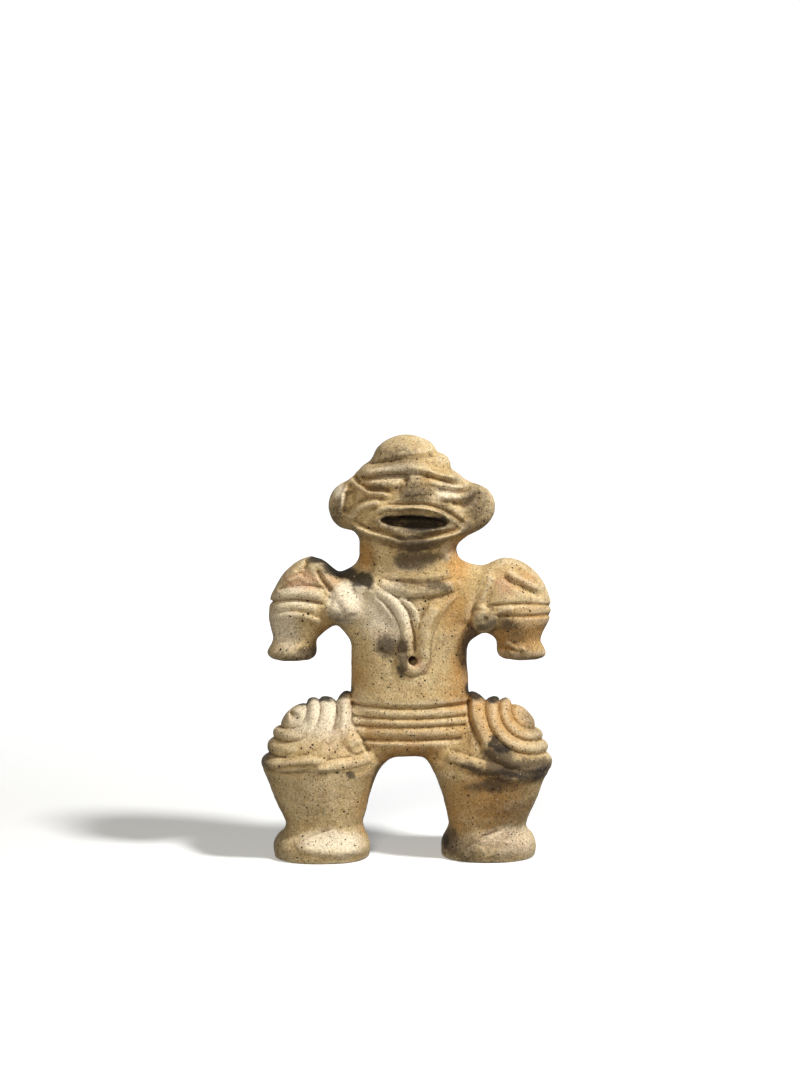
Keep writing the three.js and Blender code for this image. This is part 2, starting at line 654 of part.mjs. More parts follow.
function addPlane(error, { unit: [a, b, c], offset: d, weight }) {
  const terms = [a * a, a * b, a * c, a * d, b * b, b * c, b * d, c * c, c * d, d * d];
  terms.forEach((term, i) => {
    error[i] += term * weight;
  });
}

function planeError(q, [x, y, z]) {
  return q[0] * x * x + q[4] * y * y + q[7] * z * z + q[9]
    + 2 * (q[1] * x * y + q[2] * x * z + q[5] * y * z + q[3] * x + q[6] * y + q[8] * z);
}

// The point that a merged edge goes to: where its planes meet, or else the better of three points on it.
function bestPoint(q, from, to) {
  const middle = from.map((value, i) => (value + to[i]) / 2);
  const matrix = new THREE.Matrix3(q[0], q[1], q[2], q[1], q[4], q[5], q[2], q[5], q[7]);
  const size = (q[0] + q[4] + q[7]) / 3;
  if (abs(matrix.determinant()) > FLATTEST_MEETING * size ** 3) {
    const meet = new THREE.Vector3(-q[3], -q[6], -q[8]).applyMatrix3(matrix.invert()).toArray();
    if (hypot(...minus(meet, middle)) < hypot(...minus(from, to))) return meet;
  }
  const choices = [from, middle, to];
  const costs = choices.map((point) => planeError(q, point));
  return choices[costs.indexOf(min(...costs))];
}

// Keeps the cheapest edge on top.
class EdgeQueue {
  constructor() {
    this.heap = [];
  }

  get size() {
    return this.heap.length;
  }

  push(item) {
    const heap = this.heap;
    let i = heap.push(item) - 1;
    while (i > 0) {
      const parent = (i - 1) >> 1;
      if (heap[parent].cost <= item.cost) break;
      heap[i] = heap[parent];
      i = parent;
    }
    heap[i] = item;
  }

  pop() {
    const heap = this.heap;
    const top = heap[0];
    const item = heap.pop();
    if (!heap.length) return top;
    let i = 0;
    for (;;) {
      let child = 2 * i + 1;
      if (child >= heap.length) break;
      if (child + 1 < heap.length && heap[child + 1].cost < heap[child].cost) child++;
      if (heap[child].cost >= item.cost) break;
      heap[i] = heap[child];
      i = child;
    }
    heap[i] = item;
    return top;
  }
}

// The same mesh with only the points that its faces use.
function compact(points, faces) {
  const used = [...new Set(faces.flat())];
  const numbers = new Map(used.map((v, i) => [v, i]));
  return {
    points: used.map((v) => points[v]),
    faces: faces.map((face) => face.map((v) => numbers.get(v))),
  };
}

// Moves a point of a thinned mesh back on to the surface, by short steps down the slope.
function polish(point) {
  let [x, y, z] = point;
  for (let i = 0; i < POLISH_STEPS; i++) {
    const here = figure(x, y, z);
    const slope = [
      figure(x + SLOPE_STEP, y, z) - figure(x - SLOPE_STEP, y, z),
      figure(x, y + SLOPE_STEP, z) - figure(x, y - SLOPE_STEP, z),
      figure(x, y, z + SLOPE_STEP) - figure(x, y, z - SLOPE_STEP),
    ].map((value) => value / (2 * SLOPE_STEP));
    const steep = max(dot(slope, slope), LEAST_SLOPE ** 2);
    const move = min(LONGEST_POLISH, max(-LONGEST_POLISH, here / steep));
    x -= move * slope[0];
    y -= move * slope[1];
    z -= move * slope[2];
  }
  return [x, y, z];
}

const wasm = await Module();
wasm.setup();

function toSolid(vertProperties, triVerts) {
  return new wasm.Manifold(new wasm.Mesh({ numProp: 3, vertProperties, triVerts }));
}

// The surface that the figure stands on cuts its feet flat.
function cutUnderside(solid) {
  const ground = new THREE.BoxGeometry(2 * HEIGHT, 2 * HEIGHT, HEIGHT);
  ground.translate(0, 0, -HEIGHT / 2);
  const corners = new Map();
  const position = ground.attributes.position;
  const merged = [...ground.index.array].map((v) => {
    const key = [position.getX(v), position.getY(v), position.getZ(v)].join();
    if (!corners.has(key)) corners.set(key, corners.size);
    return corners.get(key);
  });
  const places = [...corners.keys()].flatMap((key) => key.split(',').map(Number));
  return solid.subtract(toSolid(new Float32Array(places), new Uint32Array(merged)));
}

function figureGeometry() {
  const low = [REACH.left, REACH.front, -MARGIN];
  const high = [REACH.right, REACH.back, HEIGHT + MARGIN];
  const thin = thinOut(drawSurface(figure, low, high, CELL), MOST_FACES);
  const places = new Float32Array(thin.points.flatMap(polish));
  const cut = cutUnderside(toSolid(places, new Uint32Array(thin.faces.flat()))).getMesh();
  const geometry = new THREE.BufferGeometry();
  geometry.setAttribute('position', new THREE.BufferAttribute(cut.vertProperties, 3));
  geometry.setIndex(new THREE.BufferAttribute(cut.triVerts, 1));
  geometry.computeBoundingBox();
  const middle = geometry.boundingBox.getCenter(new THREE.Vector3());
  geometry.translate(-middle.x, -middle.y, 0);
  geometry.computeVertexNormals();
  return geometry;
}

const firedClay = new THREE.MeshStandardMaterial({ color: '#cdb996', roughness: 0.85, metalness: 0 });
const figurine = new THREE.Mesh(figureGeometry(), firedClay);
figurine.name = 'dogu_figurine';

const group = new THREE.Group();
group.add(figurine);
export default group;
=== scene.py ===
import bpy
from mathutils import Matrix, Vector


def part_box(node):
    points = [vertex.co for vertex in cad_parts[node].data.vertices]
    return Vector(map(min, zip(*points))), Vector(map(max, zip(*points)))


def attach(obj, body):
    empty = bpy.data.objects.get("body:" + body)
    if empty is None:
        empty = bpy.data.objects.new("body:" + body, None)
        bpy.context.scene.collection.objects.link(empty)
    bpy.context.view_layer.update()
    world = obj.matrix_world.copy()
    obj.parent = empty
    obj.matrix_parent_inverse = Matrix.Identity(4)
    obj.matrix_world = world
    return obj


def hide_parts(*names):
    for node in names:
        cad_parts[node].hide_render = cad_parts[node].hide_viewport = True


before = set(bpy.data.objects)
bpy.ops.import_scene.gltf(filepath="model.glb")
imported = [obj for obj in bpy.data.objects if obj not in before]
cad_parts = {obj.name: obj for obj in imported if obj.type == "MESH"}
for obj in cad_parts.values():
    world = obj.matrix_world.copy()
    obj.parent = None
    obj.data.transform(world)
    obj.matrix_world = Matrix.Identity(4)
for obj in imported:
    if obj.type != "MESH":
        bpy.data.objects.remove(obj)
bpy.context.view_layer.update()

import math

import bpy
import numpy as np
from mathutils import Vector

# A dogu figurine of low-fired clay. Its sizes are in millimetres, and the finished mesh in metres:
# +X to the viewer's right, -Y the front, +Z up. Left and right are the viewer's.
MM = 0.001
NODE = "dogu_figurine"

# Middles of the body and head, and how far to the sides the legs and arms stand
BODY_MIDDLE = 1.2
HEAD_MIDDLE = 2.0
LEG_SPREAD = 34.2
ARM_SPREAD = 45.0

# Towers of oval sections, in rows of height, middle x, half width, middle y and half depth. The x of the
# legs and arms is counted outwards. A squareness of 2 would give plain ovals.
SQUARENESS = 2.3
TRUNK_ROWS = np.array([
    [41.2, 0, 22, 0.2, 14.6],
    [50, 0, 23.4, 0.6, 16.6],
    [62, 0, 23.6, 0, 15.6],
    [70, 0.2, 23.4, -0.3, 14],
    [78, 0, 23.2, -0.5, 13.3],
    [86, 0.3, 23.6, -0.5, 13.3],
    [92, 0.6, 26.4, -0.4, 13.4],
    [103, 0.4, 28, 0, 13.2],
    [111, 0, 25, 0.5, 12.8],
    [117, 0, 20.8, 0.6, 12.6],
    [121, -0.4, 19.6, 0.6, 12.6],
    [126, -0.2, 19.6, 0.4, 12.8],
    [131, 1.6, 21.4, 0, 13.6],
    [136, 1, 24, 0, 14.6],
])
HEAD_ROWS = np.array([
    [127, 0, 17.5, 0, 11.5],
    [132, 1.8, 23.8, -0.2, 14.2],
    [138, 0.8, 27.2, 0, 15.2],
    [146, -0.8, 26, 0.4, 15],
    [150.5, -1.2, 24.2, 0.6, 14.4],
    [153.5, -1.8, 21.4, 0.7, 13.8],
    [156.4, -2.2, 18, 0.8, 13],
    [159.6, -1.4, 14.8, 0.9, 12],
    [163, -1.2, 12, 1, 10.6],
])
LEG_ROWS = np.array([
    [-4, -0.2, 18.2, -2.4, 17.6],
    [0.8, -0.2, 19, -2.4, 18.6],
    [4.4, -0.1, 19.2, -2.4, 18.6],
    [7.6, -0.3, 18.2, -2.2, 17],
    [10.2, -1, 16.4, -2, 15.2],
    [13.2, -1.1, 15.5, -1.8, 14.7],
    [17, -0.8, 16.6, -1.6, 15.6],
    [23.5, 0, 19, -1.4, 17.2],
    [30, 0.2, 21.1, -1.2, 18.6],
    [35.5, 0.8, 22.4, -1, 19.4],
    [46, 0.8, 21.4, -1, 19],
])
ARM_ROWS = np.array([
    [79.8, 1.0, 9.6, -0.6, 9.2],
    [81.5, 1.2, 10, -0.6, 9.4],
    [83.5, 0.9, 9.8, -0.6, 9.2],
    [87.5, -0.3, 9, -0.4, 8.8],
    [91, -1.6, 10.8, 0, 10],
    [96, -3.4, 13.8, 0.2, 11.4],
    [103, -4.4, 14.2, 0.4, 11.8],
    [109, -5.4, 12.8, 0.6, 11.2],
    [114, -6.4, 10.6, 0.8, 9.8],
    [117.4, -6.8, 7.4, 1, 7.6],
    [120.6, -6.8, 3.6, 1, 4.6],
])
# How the left and right sides differ: shifts outwards of the leg, foot, thigh and arm, the lean outwards of
# the arm's top, the arm's girth, and the foot's shift to the back
SIDES = [
    dict(sign=-1, leg=0.0, foot=0.0, thigh=-1.0, arm=0.0, lean=0.0, arm_girth=1.0, stride=-0.9),
    dict(sign=1, leg=-0.4, foot=-0.6, thigh=0.4, arm=0.3, lean=1.9, arm_girth=1.09, stride=1.8),
]
# Heights over which the foot's shift ends, the thigh takes over from the leg, and the arm's girth and lean
# set in
FOOT_TOP = (4, 16)
THIGH_START = (34, 42)
ARM_GIRTH_START = (86, 98)
ARM_LEAN_START = (90, 112)

# Rounding of the towers' rims
CROTCH_EDGE = 7.0
CUFF_EDGE = 4.0
CHIN_EDGE = 4.0
FOOT_EDGE = 0.5

# How softly the forms run together. The legs join the trunk with the crotch's blend up to its top, and with
# the hips' blend above.
HIP_BLEND = 7.0
CROTCH_BLEND = 14.0
CROTCH_TOP = (38, 46)
SHOULDER_BLEND = 6.0
ARM_BLEND = 3.0
NECK_BLEND = 3.0

THIGH = dict(x=1, y=-1, height=36.0, half_width=21.4, half_depth=19.2, rise=26.5, curve=1.8)
# Above the split the shoulders' bar is lifted towards the right, and below it lowered.
SHOULDER_BAR = dict(
    y=0.6, height=104.6, half_length=47.0, half_depth=10.5, half_height=12.0, split=104, lift=0.06, curve=3.0)
# Rounded masses, with their half widths along x, y and z: two knots of hair and the ears
HAIR_AND_EARS = [
    dict(x=0, y=0.6, z=159.6, hx=13.2, hy=12.4, hz=10.2, blend=1.5),
    dict(x=12.5, y=-1, z=158.4, hx=4.9, hy=8, hz=4.6, blend=1.0),
    dict(x=-23.2, y=0.4, z=141.4, hx=8.0, hy=7.4, hz=9.2, blend=3.0, curve=2.1),
    dict(x=26.2, y=0.4, z=141, hx=9, hy=7.6, hz=9.4, blend=3.0, curve=2.1),
]

# Grooves that part the belts, from the top. They hang lower in the middle than at the belts' half length, the
# first by the sag and each further one by a step less. The belts' ends are given at four heights.
BELT_GROOVES = [61.4, 57.3, 54.0, 49.2]
BELT_SAG = 2.2
BELT_SAG_STEP = 0.45
BELT_RELIEF = 1.6
BELT_HALF_LENGTH = 23.0
BELT_HEIGHTS = (44.0, 50.0, 56.2, 62.7)
BELT_LEFT_ENDS = (-14.5, -18.5, -21.6, -22.8)
BELT_RIGHT_ENDS = (19.5, 22.5, 24.4, 25.0)
BELT_END_OUTSIDE = 0.6
BELT_END_INSIDE = 1.4
BELT_RIM = 2
# A row of cord marks along the foot of the lowest belt, on the right
CORD_MARKS = dict(start=(6, 12), spacing=1.7, slant=0.7, depth=0.35)

# Rings on the thighs, between grooves at these distances from a pole at an x and z. In the worn direction,
# an angle, they are lower by a share.
THIGH_RINGS = [
    dict(pole=(-47, 61), grooves=(7.3, 12.6, 19.1, 25.4), worn=-0.85, wear=0.55),
    dict(pole=(50, 61.5), grooves=(7.8, 12.8, 18.3, 25.4), worn=0.0, wear=0.0),
]
RING_RELIEF = 2.0
RING_BACK_RELIEF = 0.45
RING_BACK_START = (2, 10)
RING_CORE = 0.6
RING_WEAR_EDGE = (0.15, 0.75)
RING_TOP = 69

# Grooves round the arms. The droop is how much lower they are at its reach from the arm's middle.
SLEEVE_GROOVES = [
    dict(side=-1, height=105.4, droop=1.2, depth=1.6),
    dict(side=1, height=103.7, droop=0.4, depth=0.9),
    dict(side=1, height=98.8, droop=-0.4, depth=0.8),
]
SLEEVE_GROOVE_HALF_WIDTH = 1.2
SLEEVE_GROOVE_START = (-14, -8)
SLEEVE_DROOP_REACH = 10

MOUTH_EDGE = 0.6
MOUTH_TILT = -0.05
MOUTH_BOWL = dict(x=4.4, y=-18.6, z=137.8, hx=15.8, hy=5.6, hz=4.5)
MOUTH_SLIT = dict(x=2.8, y=-17.0, z=136.2, hx=13.8, hy=11.0, hz=2.7)

# Strokes, as (points, half width, size). The points are x and z as seen from in front.
SWELLINGS = [
    ([[-19, 155.5], [-12.5, 157], [-5, 157.6], [2, 158], [9, 157], [16, 155], [23, 151.5]], 3.4, 2.3),
    ([[-15, 152], [-9.5, 151.6], [-2.5, 151.6]], 2.3, 1.5),
    ([[-22, 152.5], [-18, 149.8], [-14, 147.6], [-9.5, 147.4], [-7, 146.8]], 1.9, 1.2),
    ([[8.5, 152.5], [13.5, 151.5], [18, 150.6], [23, 150.4]], 1.8, 1.0),
    ([[13, 146.5], [18, 146.3], [22.5, 146.5], [26, 148], [27.5, 150]], 2.0, 1.5),
    ([[3.6, 155], [3.8, 149]], 5.0, 0.9),
    ([[3.6, 150], [3.8, 147]], 8.0, 1.1),
    ([[-23, 137], [-21, 140], [-18, 142.3], [-13.5, 143.8], [-10.5, 144]], 2.5, 1.5),
    ([[-22.5, 135.5], [-17.5, 133], [-11.5, 131], [-5, 129.2], [1, 128], [7, 128.3], [13.5, 129.5],
      [19.5, 131.5], [24, 135.5]], 2.9, 2.6),
    ([[-52.4, 107.4], [-42.4, 108.4], [-32.8, 107]], 3.2, 1.2),
    ([[-53.6, 102], [-44, 103], [-35.2, 101.2]], 2.4, 0.8),
    ([[-43.6, 117], [-47.6, 113]], 3.2, 0.9),
    ([[-37.4, 121], [-32.2, 115], [-27, 109.4], [-23.8, 103.4], [-22.2, 98.6]], 5.6, 2.0),
    ([[-30.4, 103], [-27, 100.6], [-24, 99.4]], 6.4, 1.4),
    ([[-25.4, 66], [-24.4, 57.4], [-22.6, 51.6], [-19.4, 46.4]], 4.8, 1.7),
    ([[33.6, 115.6], [30.8, 108.4], [29.4, 101.2]], 3.6, 1.8),
    ([[34.4, 98.2], [37.4, 101], [42.4, 101.8]], 2.4, 1.0),
    ([[39.6, 116.6], [46.4, 113.6], [52.6, 109.6]], 2.6, 1.2),
    ([[38.8, 88.4], [43.2, 87], [47.2, 84.6]], 2.0, 1.0),
    ([[-42.6, 6], [-35.6, 4.6], [-29.2, 3.6], [-22.8, 4], [-17, 5.6]], 3.6, 1.1),
    ([[29, 3.4], [36, 4.4], [44, 5.4]], 5.0, 0.9),
]
ROLLS = [
    ([[-12.5, 139.5], [-9, 141.8], [-1.5, 142], [7, 142], [13, 140.2], [17, 138], [21.5, 135]], 1.3, 1.2),
    ([[-12.5, 137.5], [-8.5, 135], [-4, 132.7], [0.5, 131.5], [6, 132.5], [11.5, 134],
      [20, 135.5]], 2.1, 1.6),
    ([[-21, 154], [-23.5, 151.5], [-25, 147.5], [-26, 143], [-26.5, 138.5]], 1.1, 0.9),
    ([[-11.6, 111.6], [-3.6, 109.6], [3.6, 108.9], [12.2, 109.6], [19.8, 112]], 2.8, 2.0),
    ([[-15.4, 111], [-7.4, 106.4], [-2.2, 99.8], [0, 92.4], [-0.4, 84.4]], 2.5, 1.9),
    ([[-2, 84.6], [-1.6, 79.8], [2, 77], [5.8, 78.2], [7, 82]], 2.3, 1.9),
    ([[12, 103.4], [8, 95.4], [6.6, 88], [6.8, 80]], 2.6, 1.5),
    ([[-2.8, 106], [0.8, 103.6], [3.6, 99.6], [4, 95.6]], 1.3, 1.0),
    ([[-57, 38.2], [-48.6, 40.4], [-39.8, 40.8], [-31, 39]], 2.3, 1.6),
    ([[-37, 37.8], [-26.4, 39.2], [-19, 40.6], [-14.6, 42.6]], 2.5, 1.8),
    ([[15, 43.2], [24.8, 40.4], [35, 37], [43, 34.6], [56.6, 37.4]], 2.5, 1.8),
]
GROOVES = [
    ([[-15.5, 159.5], [-12, 159.3], [-8, 160.2], [-1.5, 161.4], [7, 162.4], [11.5, 163.7]], 1.7, 1.1),
    ([[-19, 154], [-14, 154], [-8, 155], [-2, 155], [0, 154], [-1, 152]], 1.4, 1.56),
    ([[-18, 152], [-16, 150.4], [-12.5, 149.4], [-9, 149.3], [-6.5, 148]], 1.3, 1.2),
    ([[-20.5, 155], [-18, 152]], 1.4, 1.38),
    ([[-1.5, 151], [-3, 148]], 1.2, 0.64),
    ([[7, 155.5], [11.5, 154], [16, 152.7], [21.5, 151.7]], 1.6, 0.8),
    ([[12, 149], [16, 149.2], [20, 148.6], [24, 149], [27, 150.5]], 1.6, 0.7),
    ([[18, 144.5], [20, 143.5], [23, 143], [25.5, 144.5], [27, 146.5], [27.5, 150]], 1.3, 1.2),
    ([[-6, 143.2], [2.5, 143.4], [9.5, 142.8], [16, 140.4], [20, 137.8], [23, 135.5]], 1.4, 1.29),
    ([[-24, 139.5], [-21.5, 142.5], [-18, 144.8], [-13.5, 146], [-8, 145.8]], 1.7, 0.92),
    ([[-20, 136], [-15.5, 133.8], [-10.5, 132.7], [-5, 131], [-1, 129.2]], 1.4, 1.1),
    ([[5.5, 130.2], [11.5, 131.5], [18, 132.7], [21, 134.5]], 1.4, 1.1),
    ([[-23, 149], [-22.5, 144.5], [-24, 139.5]], 3.1, 1.84),
    ([[28, 150], [28.5, 146.5], [28.5, 144.5]], 1.2, 0.64),
    ([[-10, 113.4], [-2.8, 112.8], [5.2, 112.6], [13, 113.4], [19.4, 114]], 1.3, 0.6),
    ([[1.6, 97.2], [3.1, 91.6], [3.4, 84.6]], 0.9, 1.4),
    ([[-35.8, 117.4], [-33.1, 113], [-29.7, 108.6]], 1.4, 1.5),
    ([[-51.2, 109.6], [-42.4, 111.2], [-30.8, 110]], 0.9, 0.8),
    ([[-50.4, 110.2], [-44, 112.6], [-39.6, 111.2]], 0.9, 0.6),
    ([[-48, 113.6], [-42, 116.2], [-40.6, 114.4]], 0.9, 0.6),
    ([[-39.6, 121], [-40.6, 117.4]], 1.2, 1.2),
    ([[39, 115.4], [42.1, 111.9], [47.7, 109.3], [54, 107.3]], 1.7, 0.8),
    ([[44.5, 118.4], [47.6, 115.4], [52.4, 112.5]], 1.6, 0.8),
    ([[42.2, 88.4], [44.6, 86.3], [46.2, 83.9]], 1.3, 0.8),
    ([[36.7, 86.6], [41.4, 85.8], [44.6, 84.7]], 1.0, 0.5),
    ([[-22.8, 63.4], [-21.6, 56.6], [-18.4, 50], [-14.4, 44]], 1.3, 1.0),
    ([[-27.4, 62], [-27.4, 56], [-28.6, 51.4], [-32, 46]], 1.6, 0.8),
    ([[-24.1, 46.6], [-22.4, 44.6], [-19.4, 43.6], [-17.2, 44.8]], 1.1, 0.5),
    ([[25.2, 66], [25.6, 57], [30, 46.4]], 1.2, 1.5),
    ([[-12.4, 84.8], [-6, 83.8]], 0.6, 0.4),
]
STROKE_TAPER = 0.12
STROKE_END = 0.3
STROKE_MIDDLE = 0.7
STEPS_PER_POINT = 6
# Ledges, as (points, width, height): on the left of the path the clay steps up, and then slopes off over the
# width.
LEDGES = [
    ([[-2.8, 84.4], [-2.8, 91.6], [-5.2, 98.8], [-10.8, 105.2], [-18, 110.6]], 2.6, 0.5),
    ([[-4.4, 96], [-9.2, 104], [-15.6, 109.6], [-24, 113.6]], 4.0, 0.6),
    ([[8.8, 79.6], [9.2, 87.6], [11.2, 94.8], [15.4, 101.6], [22, 108.8]], 5.0, 0.8),
    ([[24.8, 95.6], [25.6, 101.6], [28.4, 107.6], [32, 116]], 5.0, 0.9),
    ([[-32.4, 96.6], [-40, 99.4], [-46.4, 100.2], [-54.4, 99]], 4.0, 0.8),
    ([[-56.4, 35.4], [-48.6, 36], [-38.2, 36.6], [-27.2, 36], [-18.4, 37.2], [-14.2, 39.8]], 2.4, 0.5),
    ([[18.4, 40.2], [27.2, 36.8], [35, 33.8], [43, 31.8], [51, 32.8], [57.4, 35.4]], 2.4, 0.6),
    ([[-16, 47.8], [-8.8, 46]], 2.0, 0.4),
    ([[-27, 13.4], [-37.9, 9.4], [-44.8, 6.2]], 6.5, 0.6),
    ([[40, 13], [29.3, 8.6], [24.5, 5.2], [21.3, 1.5]], 6.0, 0.9),
]
LEDGE_TAPER = 0.15
LEDGE_RISE = (-0.7, 0.3)
LEDGE_TOP = 0.5
# Pits, as (x, z, radius, depth)
PITS = [
    (2.5, 81, 1.9, 5.4), (-10, 85.6, 0.9, 1.4), (18.8, 33.8, 0.8, 1.2), (34.4, 29, 0.8, 1.2),
    (31.2, 97.6, 1.5, 1.1), (42, 112, 0.5, 0.6),
]
# Lumps of clay on either side of the chest
KNOBS = [
    dict(x=31, y=-10, z=96.6, hx=5.2, hy=5.4, hz=5.2, blend=1.6),
    dict(x=-25.4, y=-7.4, z=100.6, hx=6.4, hy=5.2, hz=5.2, blend=4.0),
]

# The strokes, ledges and pits fade out towards the back, and where the clay faces the ground. All the carving
# is laid out on an upright plane at the layout depth, as the eye sees it there.
FRONT_FADE = (-4.0, 3.0)
UNDERSIDE_FADE = (0.4, 0.8)
EYE_HEIGHT = 255.0
EYE_DISTANCE = 1193.0
LAYOUT_DEPTH = 15.0

# Step over which the plain form's slope is measured, and the least slope that is reckoned with
SLOPE_STEP = 0.05
LEAST_SLOPE = 0.6


def smooth_step(start, end, value):
    t = np.clip((value - start) / (end - start), 0, 1)
    return t * t * (3 - 2 * t)


def join(a, b, blend):
    h = np.maximum(0, blend - np.abs(a - b)) / blend
    return np.minimum(a, b) - h * h * blend / 4


def cut_away(a, b, blend):
    return -join(-a, b, blend)


def row_at(rows, height):
    heights = rows[:, 0]
    i = np.clip(np.searchsorted(heights, height) - 1, 0, len(rows) - 2)
    slopes = np.gradient(rows[:, 1:], heights, axis=0)
    # a slope inside the table runs between the rows on either side
    slopes[1:-1] = (rows[2:, 1:] - rows[:-2, 1:]) / (heights[2:] - heights[:-2])[:, None]
    gap = heights[i + 1] - heights[i]
    t = np.clip((height - heights[i]) / gap, 0, 1)
    t, gap = t[:, None], gap[:, None]
    t2, t3 = t * t, t ** 3
    values = ((2 * t3 - 3 * t2 + 1) * rows[i, 1:] + (3 * t2 - 2 * t3) * rows[i + 1, 1:]
              + ((t3 - 2 * t2 + t) * slopes[i] + (t3 - t2) * slopes[i + 1]) * gap)
    return values.T


def tower(x, y, z, rows, edge, girth=1.0):
    middle_x, half_x, middle_y, half_y = row_at(rows, z)
    u = np.abs(x - middle_x) / (half_x * girth)
    v = np.abs(y - middle_y) / (half_y * girth)
    reach = (u ** SQUARENESS + v ** SQUARENESS) ** (1 / SQUARENESS)
    sides = (reach - 1) * np.minimum(half_x, half_y) * girth
    return cut_away(sides, np.minimum(z - rows[0, 0], rows[-1, 0] - z), edge)


def mass(x, y, z, form):
    curve = form.get("curve", 2.0)
    u = np.abs(x - form["x"]) / form["hx"]
    v = np.abs(y - form["y"]) / form["hy"]
    w = np.abs(z - form["z"]) / form["hz"]
    reach = (np.hypot(u, v) ** curve + w ** curve) ** (1 / curve)
    return (reach - 1) * min(form["hx"], form["hy"], form["hz"])


def leg(x, y, z, side):
    low = 1 - smooth_step(*THIGH_START, z)
    foot = 1 - smooth_step(*FOOT_TOP, z)
    across = x * side["sign"] - LEG_SPREAD - side["leg"] - side["foot"] * foot - side["thigh"] * (1 - low)
    y = y - side["stride"] * foot
    jar = tower(across, y, np.minimum(z, THIGH["height"]), LEG_ROWS, FOOT_EDGE)
    lift = np.maximum(0, z - THIGH["height"]) / THIGH["rise"]
    u = (across - THIGH["x"]) / THIGH["half_width"]
    v = (y - THIGH["y"]) / THIGH["half_depth"]
    reach = (np.hypot(u, v) ** THIGH["curve"] + lift ** THIGH["curve"]) ** (1 / THIGH["curve"])
    dome = (reach - 1) * THIGH["half_depth"]
    return low * jar + (1 - low) * dome


def arm(x, y, z, side):
    across = x * side["sign"] - ARM_SPREAD - side["arm"] - side["lean"] * smooth_step(*ARM_LEAN_START, z)
    girth = 1 + (side["arm_girth"] - 1) * smooth_step(*ARM_GIRTH_START, z)
    return tower(across, y, z, ARM_ROWS, CUFF_EDGE, girth)


def trunk(x, y, z):
    return tower(x - BODY_MIDDLE, y, z, TRUNK_ROWS, CROTCH_EDGE)


def shoulders(x, y, z):
    bar = SHOULDER_BAR
    u = np.abs(x - BODY_MIDDLE) / bar["half_length"]
    height = bar["height"] + np.where(z > bar["split"], 1, -1) * bar["lift"] * x
    around = np.hypot((y - bar["y"]) / bar["half_depth"], (z - height) / bar["half_height"])
    reach = (u ** bar["curve"] + around ** bar["curve"]) ** (1 / bar["curve"])
    return (reach - 1) * bar["half_depth"]


def join_masses(clay, x, y, z, forms):
    for form in forms:
        clay = join(clay, mass(x, y, z, form), form["blend"])
    return clay


def head(x, y, z):
    clay = tower(x - HEAD_MIDDLE, y, z, HEAD_ROWS, CHIN_EDGE)
    return join_masses(clay, x, y, z, HAIR_AND_EARS)


def body(x, y, z):
    """The plain form: negative in the clay, positive outside, and roughly the distance to its surface."""
    clay = join(trunk(x, y, z), shoulders(x, y, z), SHOULDER_BLEND)
    leg_blend = HIP_BLEND + (CROTCH_BLEND - HIP_BLEND) * (1 - smooth_step(*CROTCH_TOP, z))
    for side in SIDES:
        clay = join(clay, arm(x, y, z, side), ARM_BLEND)
        clay = join(clay, leg(x, y, z, side), leg_blend)
    clay = join(clay, head(x, y, z), NECK_BLEND)
    return join_masses(clay, x, y, z, KNOBS)


def draw_line(points):
    """Short straight steps on a smooth curve through the points."""
    p = np.array(points, float)
    count = STEPS_PER_POINT * len(p)
    at = np.arange(count + 1) / count * (len(p) - 1)
    i = np.minimum(at.astype(int), len(p) - 2)
    t = (at - i)[:, None]
    before, here, there, after = p[np.maximum(i - 1, 0)], p[i], p[i + 1], p[np.minimum(i + 2, len(p) - 1)]
    leaving, arriving = (there - before) / 2, (after - here) / 2
    return ((2 * t**3 - 3 * t**2 + 1) * here + (t**3 - 2 * t**2 + t) * leaving
            + (3 * t**2 - 2 * t**3) * there + (t**3 - t**2) * arriving)


def along_line(x, z, steps):
    """Distance from a drawn line, share of the way along it, and whether it is on the line's left."""
    nearest = np.full(x.shape, np.inf)
    share = np.zeros(x.shape)
    left = np.zeros(x.shape, bool)
    count = len(steps) - 1
    for i in range(count):
        (ax, az), (bx, bz) = steps[i], steps[i + 1]
        dx, dz = bx - ax, bz - az
        t = np.clip(((x - ax) * dx + (z - az) * dz) / (dx * dx + dz * dz), 0, 1)
        away = np.hypot(x - ax - t * dx, z - az - t * dz)
        closer = away < nearest
        nearest = np.where(closer, away, nearest)
        share = np.where(closer, (i + t) / count, share)
        left = np.where(closer, dx * (z - az) - dz * (x - ax) > 0, left)
    return nearest, share, left


def half_round(across):
    return np.maximum(0, 1 - across * across) ** 0.75


def scooped(across):
    return np.maximum(0, 1 - across * across)


def swollen(across):
    return scooped(across) ** 2


def tapered(share):
    """1 along a stroke, falling off at its two ends."""
    return (STROKE_END + STROKE_MIDDLE * smooth_step(0, STROKE_TAPER, share)
            * (1 - smooth_step(1 - STROKE_TAPER, 1, share)))


def with_steps(strokes):
    return [(draw_line(points), half_width, size) for points, half_width, size in strokes]


DRAWN = {name: with_steps(strokes) for name, strokes in
         dict(swellings=SWELLINGS, rolls=ROLLS, grooves=GROOVES, ledges=LEDGES).items()}


def near_strokes(x, z, name):
    """For each stroke of a kind: which points are near it, how they lie along it, its width and its size."""
    for steps, width, size in DRAWN[name]:
        low, high = steps.min(0) - width, steps.max(0) + width
        near = np.nonzero((x > low[0]) & (x < high[0]) & (z > low[1]) & (z < high[1]))[0]
        if len(near):
            yield near, along_line(x[near], z[near], steps), width, size


def stroke_relief(x, z, name, outline):
    """The most that any stroke of a kind raises or lowers the surface."""
    most = np.zeros_like(x)
    for near, (away, share, _), half_width, size in near_strokes(x, z, name):
        size_here = size * outline(np.minimum(away / half_width, 1)) * tapered(share)
        most[near] = np.maximum(most[near], size_here)
    return most


